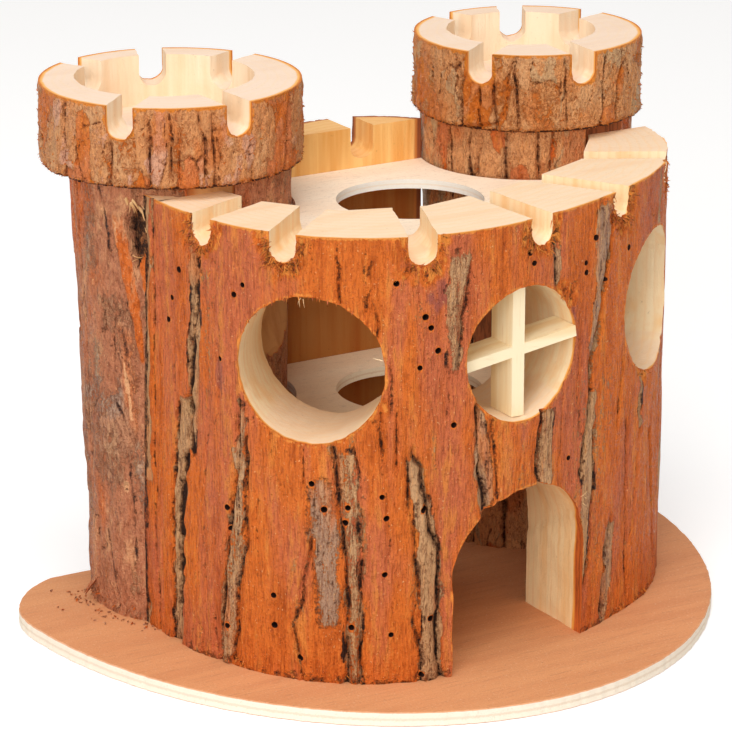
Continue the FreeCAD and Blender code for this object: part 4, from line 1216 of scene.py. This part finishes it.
# torn fibres: round the grooves, along the top, at the top of the left window and at the foot,
# each as outwards, along the bark and up
dice = np.random.default_rng(160)
turns, heights, reach = [], [], []
for groove in wall_grooves:
    count = 320 if abs(groove) > 25 and groove < 60 else 110
    bend = dice.uniform(0.0, np.pi, count)
    deep_in = 3.9 + dice.exponential(0.9, count)
    turns.append(groove - np.degrees(deep_in * np.cos(bend) / wall_outline(groove)))
    lifted = 3.4 * dice.random(count) * (np.abs(np.cos(bend)) > 0.9)
    heights.append(np.minimum(groove_middle - deep_in * np.sin(bend) + lifted, 123.6))
    reach.append(np.stack([dice.uniform(0.3, 0.9, count), -0.5 * np.cos(bend) + dice.normal(0, 0.5, count),
                           -0.6 + dice.normal(0, 0.5, count)], -1) * dice.uniform(0.8, 2.3, (count, 1)))
along_top = dice.uniform(-84, 78, 420)
clear = np.min(np.abs(along_top[:, None] - np.array(wall_grooves)), axis=1) > 3.4
along_top = along_top[clear]
turns.append(along_top)
heights.append(np.full(len(along_top), 123.5))
reach.append(np.stack([dice.uniform(0.3, 0.7, len(along_top)), dice.normal(0, 0.5, len(along_top)),
                       dice.normal(-0.3, 0.5, len(along_top))], -1))
bend = dice.uniform(np.radians(20), np.radians(160), 70)
turns.append(side_windows[0] + np.degrees(19.7 * np.cos(bend) / 75.0))
heights.append(window_height + 19.7 * np.sin(bend))
reach.append(np.stack([dice.uniform(0.1, 0.5, 70), dice.normal(0, 0.25, 70),
                       dice.uniform(-1.3, -0.6, 70)], -1))
for turn, height, wide, tall, count in ((12.1, 101.3, 4.0, 4.5, 45), (43.0, 72.7, 5.0, 7.0, 70),
                                        (-60.0, 6.0, 5.0, 1.2, 60), (-40.0, 5.6, 22.0, 0.7, 60),
                                        (42.0, 5.6, 18.0, 0.7, 60)):
    turns.append(turn + dice.normal(0, 0.5, count) * wide / bark_degree)
    heights.append(np.clip(height + dice.normal(0, 0.5, count) * tall, 4.5, 123.0))
    reach.append(np.stack([dice.uniform(0.3, 0.9, count), dice.normal(0, 0.5, count),
                           dice.normal(-0.5, 0.5, count)], -1))
turns, heights, reach = np.concatenate(turns), np.concatenate(heights), np.concatenate(reach)
wall_grid = (angles, z[0])
column = np.argmin(np.abs(angles[:, None] - turns[None, :]), axis=0)
kept = near_edge[column, np.rint((heights - log_foot) / 120.0 * (rows - 1)).astype(int)] > 0.0
turns, heights, reach = turns[kept], heights[kept], reach[kept]
torn_fibres("wall_fibres", wall_axis, wall_outline(turns), wall_grid, relief, turns, heights, reach,
            dice.uniform(0.2, 0.55, len(turns)), red_bark,
            {"rim": dice.uniform(0.0, 1.0, len(turns)), "furrow": dice.uniform(0, 0.75, len(turns)),
             "plate": 0.0, "weathered": 0.0, "blush": dice.uniform(0, 1, len(turns))}, 161)

# pale hairs of wood at the left window, the doorway and the right window
pale_wood = sawn_material("pale_splinters", tint(250, 220, 176), tint(236, 190, 134), tint(214, 140, 70),
                          tint(240, 190, 120), {**log_of_wall, "Radius": 160.0}, 0.5, 0.5)
turns = np.array([-44.6, -44.2, -43.8, 17.9, 18.2, 18.5, 17.8, 18.4, 63.2, 63.5, -29.4, -48.8, -49.4])
heights = np.array([107.9, 108.0, 107.8, 43.4, 43.0, 42.4, 43.8, 43.2, 90.0, 92.0, 92.0, 114.2, 113.9])
reach = np.array([(0.4, 0.3, -2.4), (0.5, -0.5, -1.8), (0.4, 0.6, -2.2), (0.9, 1.8, 1.0),
                  (1.0, 2.2, -0.4), (1.1, 1.5, -1.5), (1.0, -1.0, 0.8), (0.8, 1.8, 1.7),
                  (0.7, 1.0, 0.9), (0.7, 0.8, -0.6), (-0.4, -2.6, 0.6), (0.7, 0.5, -2.0),
                  (0.6, 1.4, -2.2)])
torn_fibres("wall_hairs", wall_axis, wall_outline(turns), wall_grid, relief, turns, heights, reach,
            np.full(len(turns), 0.24), pale_wood, {}, 162)


# ---- floor and roof -----------------------------------------------------------------------
# Two thin plywood plates, sawn to the hollow and let in between the walls and the towers,
# each with one round hole for climbing.
def dress(node, material):
    """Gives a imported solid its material."""
    solids[node].data.materials.clear()
    solids[node].data.materials.append(material)


floor_ply = ply_material("floor_ply", tint(255, 228, 192), tint(251, 218, 178), (260, 800, 800),
                         tint(250, 232, 200), tint(222, 182, 134), 0.0026, 0.0574)
roof_ply = ply_material("roof_ply", tint(254, 234, 208), tint(250, 224, 194), (260, 800, 800),
                        tint(255, 249, 236), tint(247, 224, 192), 0.0026, 0.111)
dress("mid_floor", floor_ply)
dress("roof_plate", roof_ply)


# ---- window cross -------------------------------------------------------------------------
# Two pale planed pine laths, halved into each other where they cross and pushed into the
# middle window.
def lath_material(name, stretch):
    """Planed softwood, very pale, with straight grain along the lath."""
    made, tree = new_material(name)
    looks = use(tree, grain, Scale=stretch, Grit=1300.0)
    colour = mixed(tree, rise(tree, looks["Broad"], 0.4, 0.66), tint(252, 234, 196), tint(242, 212, 160))
    colour = mixed(tree, rise(tree, looks["Fine"], 0.56, 0.76, 0.5), colour, tint(222, 180, 122))
    finish_surface(tree, colour, 0.6, looks["Fine"], 0.00012)
    return made


dress("window_upright", lath_material("window_upright_pine", (1500, 1500, 90)))
dress("window_crossbar", lath_material("window_crossbar_pine", (110, 1500, 1500)))


# ---- crowns -------------------------------------------------------------------------------
# Thick log slices with a pocket bored in the top and five grooves cut out to the rim, glued and
# nailed on the towers. Scaly bark on the outside, cream sapwood inside, an orange line between.
crown_top = 148.6
crown_grooves = (-49.0, 0.0, 109.0, 157.5, 204.0)
crown_groove_middle = 143.75


def make_crown(name, centre, size, turn, seed, node, lines, palette):
    """Crown: bark on a ring 21.4 high, pocket 14 deep and 11.4 in from the rim, five grooves."""
    columns, rows = 540, 54
    degrees, z = np.meshgrid(np.linspace(-180, 180, columns, endpoint=False),
                             np.linspace(tower_top, crown_top, rows), indexing="ij")
    girth = 2 * np.pi * size
    u = degrees / 360 * girth
    relief, marks = plated_bark(u, z, 9.0, 17.0, seed, girth, 1.5)
    for line_z, line_degrees, half in lines:
        line_u = np.array(line_degrees) / 360 * girth
        dark = crack(u + 0.5 * ripple(u, z, 2, 4, seed + 9, girth), z, line_u, line_z, 0.6 * half)
        marks["furrow"] = np.maximum(marks["furrow"], dark)
        relief = relief - 1.4 * np.minimum(dark, 1)
    edge = crown_top - z
    low_edge = z - tower_top
    for groove in crown_grooves:
        rim_turn = groove + turn + np.degrees(np.arcsin(3.4 * np.sin(np.radians(groove + turn)) / size))
        aside = ((degrees - rim_turn + 180) % 360 - 180) / 360 * girth
        away = np.where(z < crown_groove_middle, np.hypot(aside, z - crown_groove_middle), np.abs(aside))
        edge = np.minimum(edge, away - groove_width / 2)
    uneven = ripple(u, z, 1.2, 1.4, seed + 10, girth)
    marks["rim"] = np.maximum(soft(edge + 0.6 * uneven, 1.4, 0.0),
                              0.5 * soft(low_edge + 0.8 * uneven, 1.8, 0.6))
    # the furrow mark along the lower edge is painted shade: a dark line where the crown sits on the tower
    marks["furrow"] = np.maximum(marks["furrow"] * soft(edge, 0.0, 2.0),
                                 1.1 * soft(low_edge + 0.3 * uneven, 0.8, 0.2))
    relief = relief * soft(edge, -0.5, 2.5) - 0.5 - 0.5 * soft(low_edge, 1.5, 0.0)
    bark = bark_material(name + "_bark", *palette)
    wood = sawn_material(name + "_wood", tint(251, 230, 200), tint(245, 214, 176), tint(212, 122, 44),
                         tint(244, 180, 96), log_shape(centre, size - 0.7), 0.8, 0.8)
    crown = log_piece(name, centre, tower_top, crown_top, lambda height: size + 0 * height, relief, marks,
                      [bark, wood], [node])
    pocket = (centre[0], centre[1] + 3.4)
    bore = rod_cutter("pocket", (*pocket, 134.6), (0, 0, 1.0), size - 11.4, 20.0, wood, 0.15,
                      seed + 20, 200, 16)
    grooves = []
    for number, groove in enumerate(crown_grooves):
        start = np.array(pocket) + heading(groove + turn)[:2] * (size - 18.9)
        grooves.append(groove_cutter("groove", start, groove + turn, crown_top, 8.6, groove_width,
                                     size, wood, seed + 30 + number))
    cut_away(crown, [bore])
    cut_away(crown, grooves)

    # flakes and fibres of bark, close along the lower edge and scattered above it
    dice = np.random.default_rng(seed + 40)
    count = 700
    turns = dice.uniform(-140, 140, count)
    heights = np.where(dice.random(count) < 0.5, dice.uniform(127.5, 128.8, count),
                       dice.uniform(129.0, 146.5, count))
    at_edge = np.argmin(np.abs(degrees[:, :1] - turns[None, :]), axis=0)
    clear = edge[at_edge, np.rint((heights - tower_top) / 21.4 * (rows - 1)).astype(int)] > 0.9
    turns, heights = turns[clear], heights[clear]
    count, low = len(turns), heights < 129.0
    reach = np.stack([dice.uniform(0.5, 0.9, count), dice.normal(0, 0.5, count),
                      np.where(low, -0.5, dice.normal(0, 0.6, count))], -1) * np.where(low, 0.9, 1.1)[:, None]
    torn_fibres(name + "_flakes", centre, np.full(count, size), (degrees[:, 0], z[0]), relief,
                turns, heights, reach,
                np.where(low, dice.uniform(0.2, 0.45, count), dice.uniform(0.3, 0.8, count)), bark,
                {"rim": dice.uniform(0, 0.7, count) * low, "furrow": dice.uniform(0, 0.8, count) * low,
                 "plate": dice.uniform(0, 1, count) * ~low, "weathered": 0.0,
                 "blush": dice.uniform(0, 1, count)}, seed + 41)


# cracks: heights, angles and half width
left_lines = [((150, 127), (-80, -80), 0.3), ((148, 140, 128), (-55, -54, -55), 0.35),
              ((143, 128), (-37, -36), 0.2), ((149, 140, 128), (-16, -13, -12), 0.4),
              ((145, 137, 128), (-10, -9, -8), 0.25), ((149, 138, 128), (36, 33, 30), 0.3),
              ((147, 131), (-28, -27), 0.15), ((140, 130), (-74, -70), 0.2)]
right_lines = [((149, 139, 128), (-39, -39, -37), 0.35), ((149, 137, 127), (22, 19, 18), 0.4),
               ((140, 128), (-68, -67), 0.25), ((142, 129), (-51, -48), 0.25),
               ((147, 130), (-14, -12), 0.15), ((146, 128), (9, 8), 0.15),
               ((141, 129), (-58, -57), 0.25), ((142, 134, 127), (-89, -88, -86), 0.3)]
make_crown(
    "left_crown_ring", (-51.4, 45.6), 35.3, 3.0, 211, "left_crown", left_lines,
    (tint(222, 118, 44), tint(222, 134, 84), tint(224, 156, 102), tint(226, 168, 136),
     tint(146, 72, 34), tint(66, 32, 20), tint(226, 132, 44), 0.34, 0.42, (1400, 1400, 600),
     (640, 640, 420)))
make_crown(
    "right_crown_ring", right_tower_place, 32.2, -3.5, 251, "right_crown", right_lines,
    (tint(220, 120, 44), tint(222, 138, 80), tint(226, 160, 104), tint(212, 170, 124),
     tint(144, 72, 30), tint(62, 32, 20), tint(226, 134, 44), 0.34, 0.42, (1400, 1400, 600),
     (640, 640, 420)))


# ---- brads --------------------------------------------------------------------------------
# Short headless brads, cut from bright flat wire and driven below the surface: through the
# board into the logs, through the wall's ends and through the crowns' floors into the towers.
wire_steel, tree = new_material("brad_wire")
looks = use(tree, grain, Scale=(900, 900, 900), Grit=1500.0)
steel_colour = mixed(tree, looks["Grit"], tint(170, 170, 172), tint(206, 206, 208))
surface = put(tree, "BsdfPrincipled", Base_Color=steel_colour, Metallic=1.0,
              Roughness=rise(tree, looks["Grit"], 0.0, 1.0, 0.6))
tree.links.new(surface.outputs[0], put(tree, "OutputMaterial").inputs["Surface"])
for node in ("base_brads", "end_brads", "crown_brads"):
    dress(node, wire_steel)
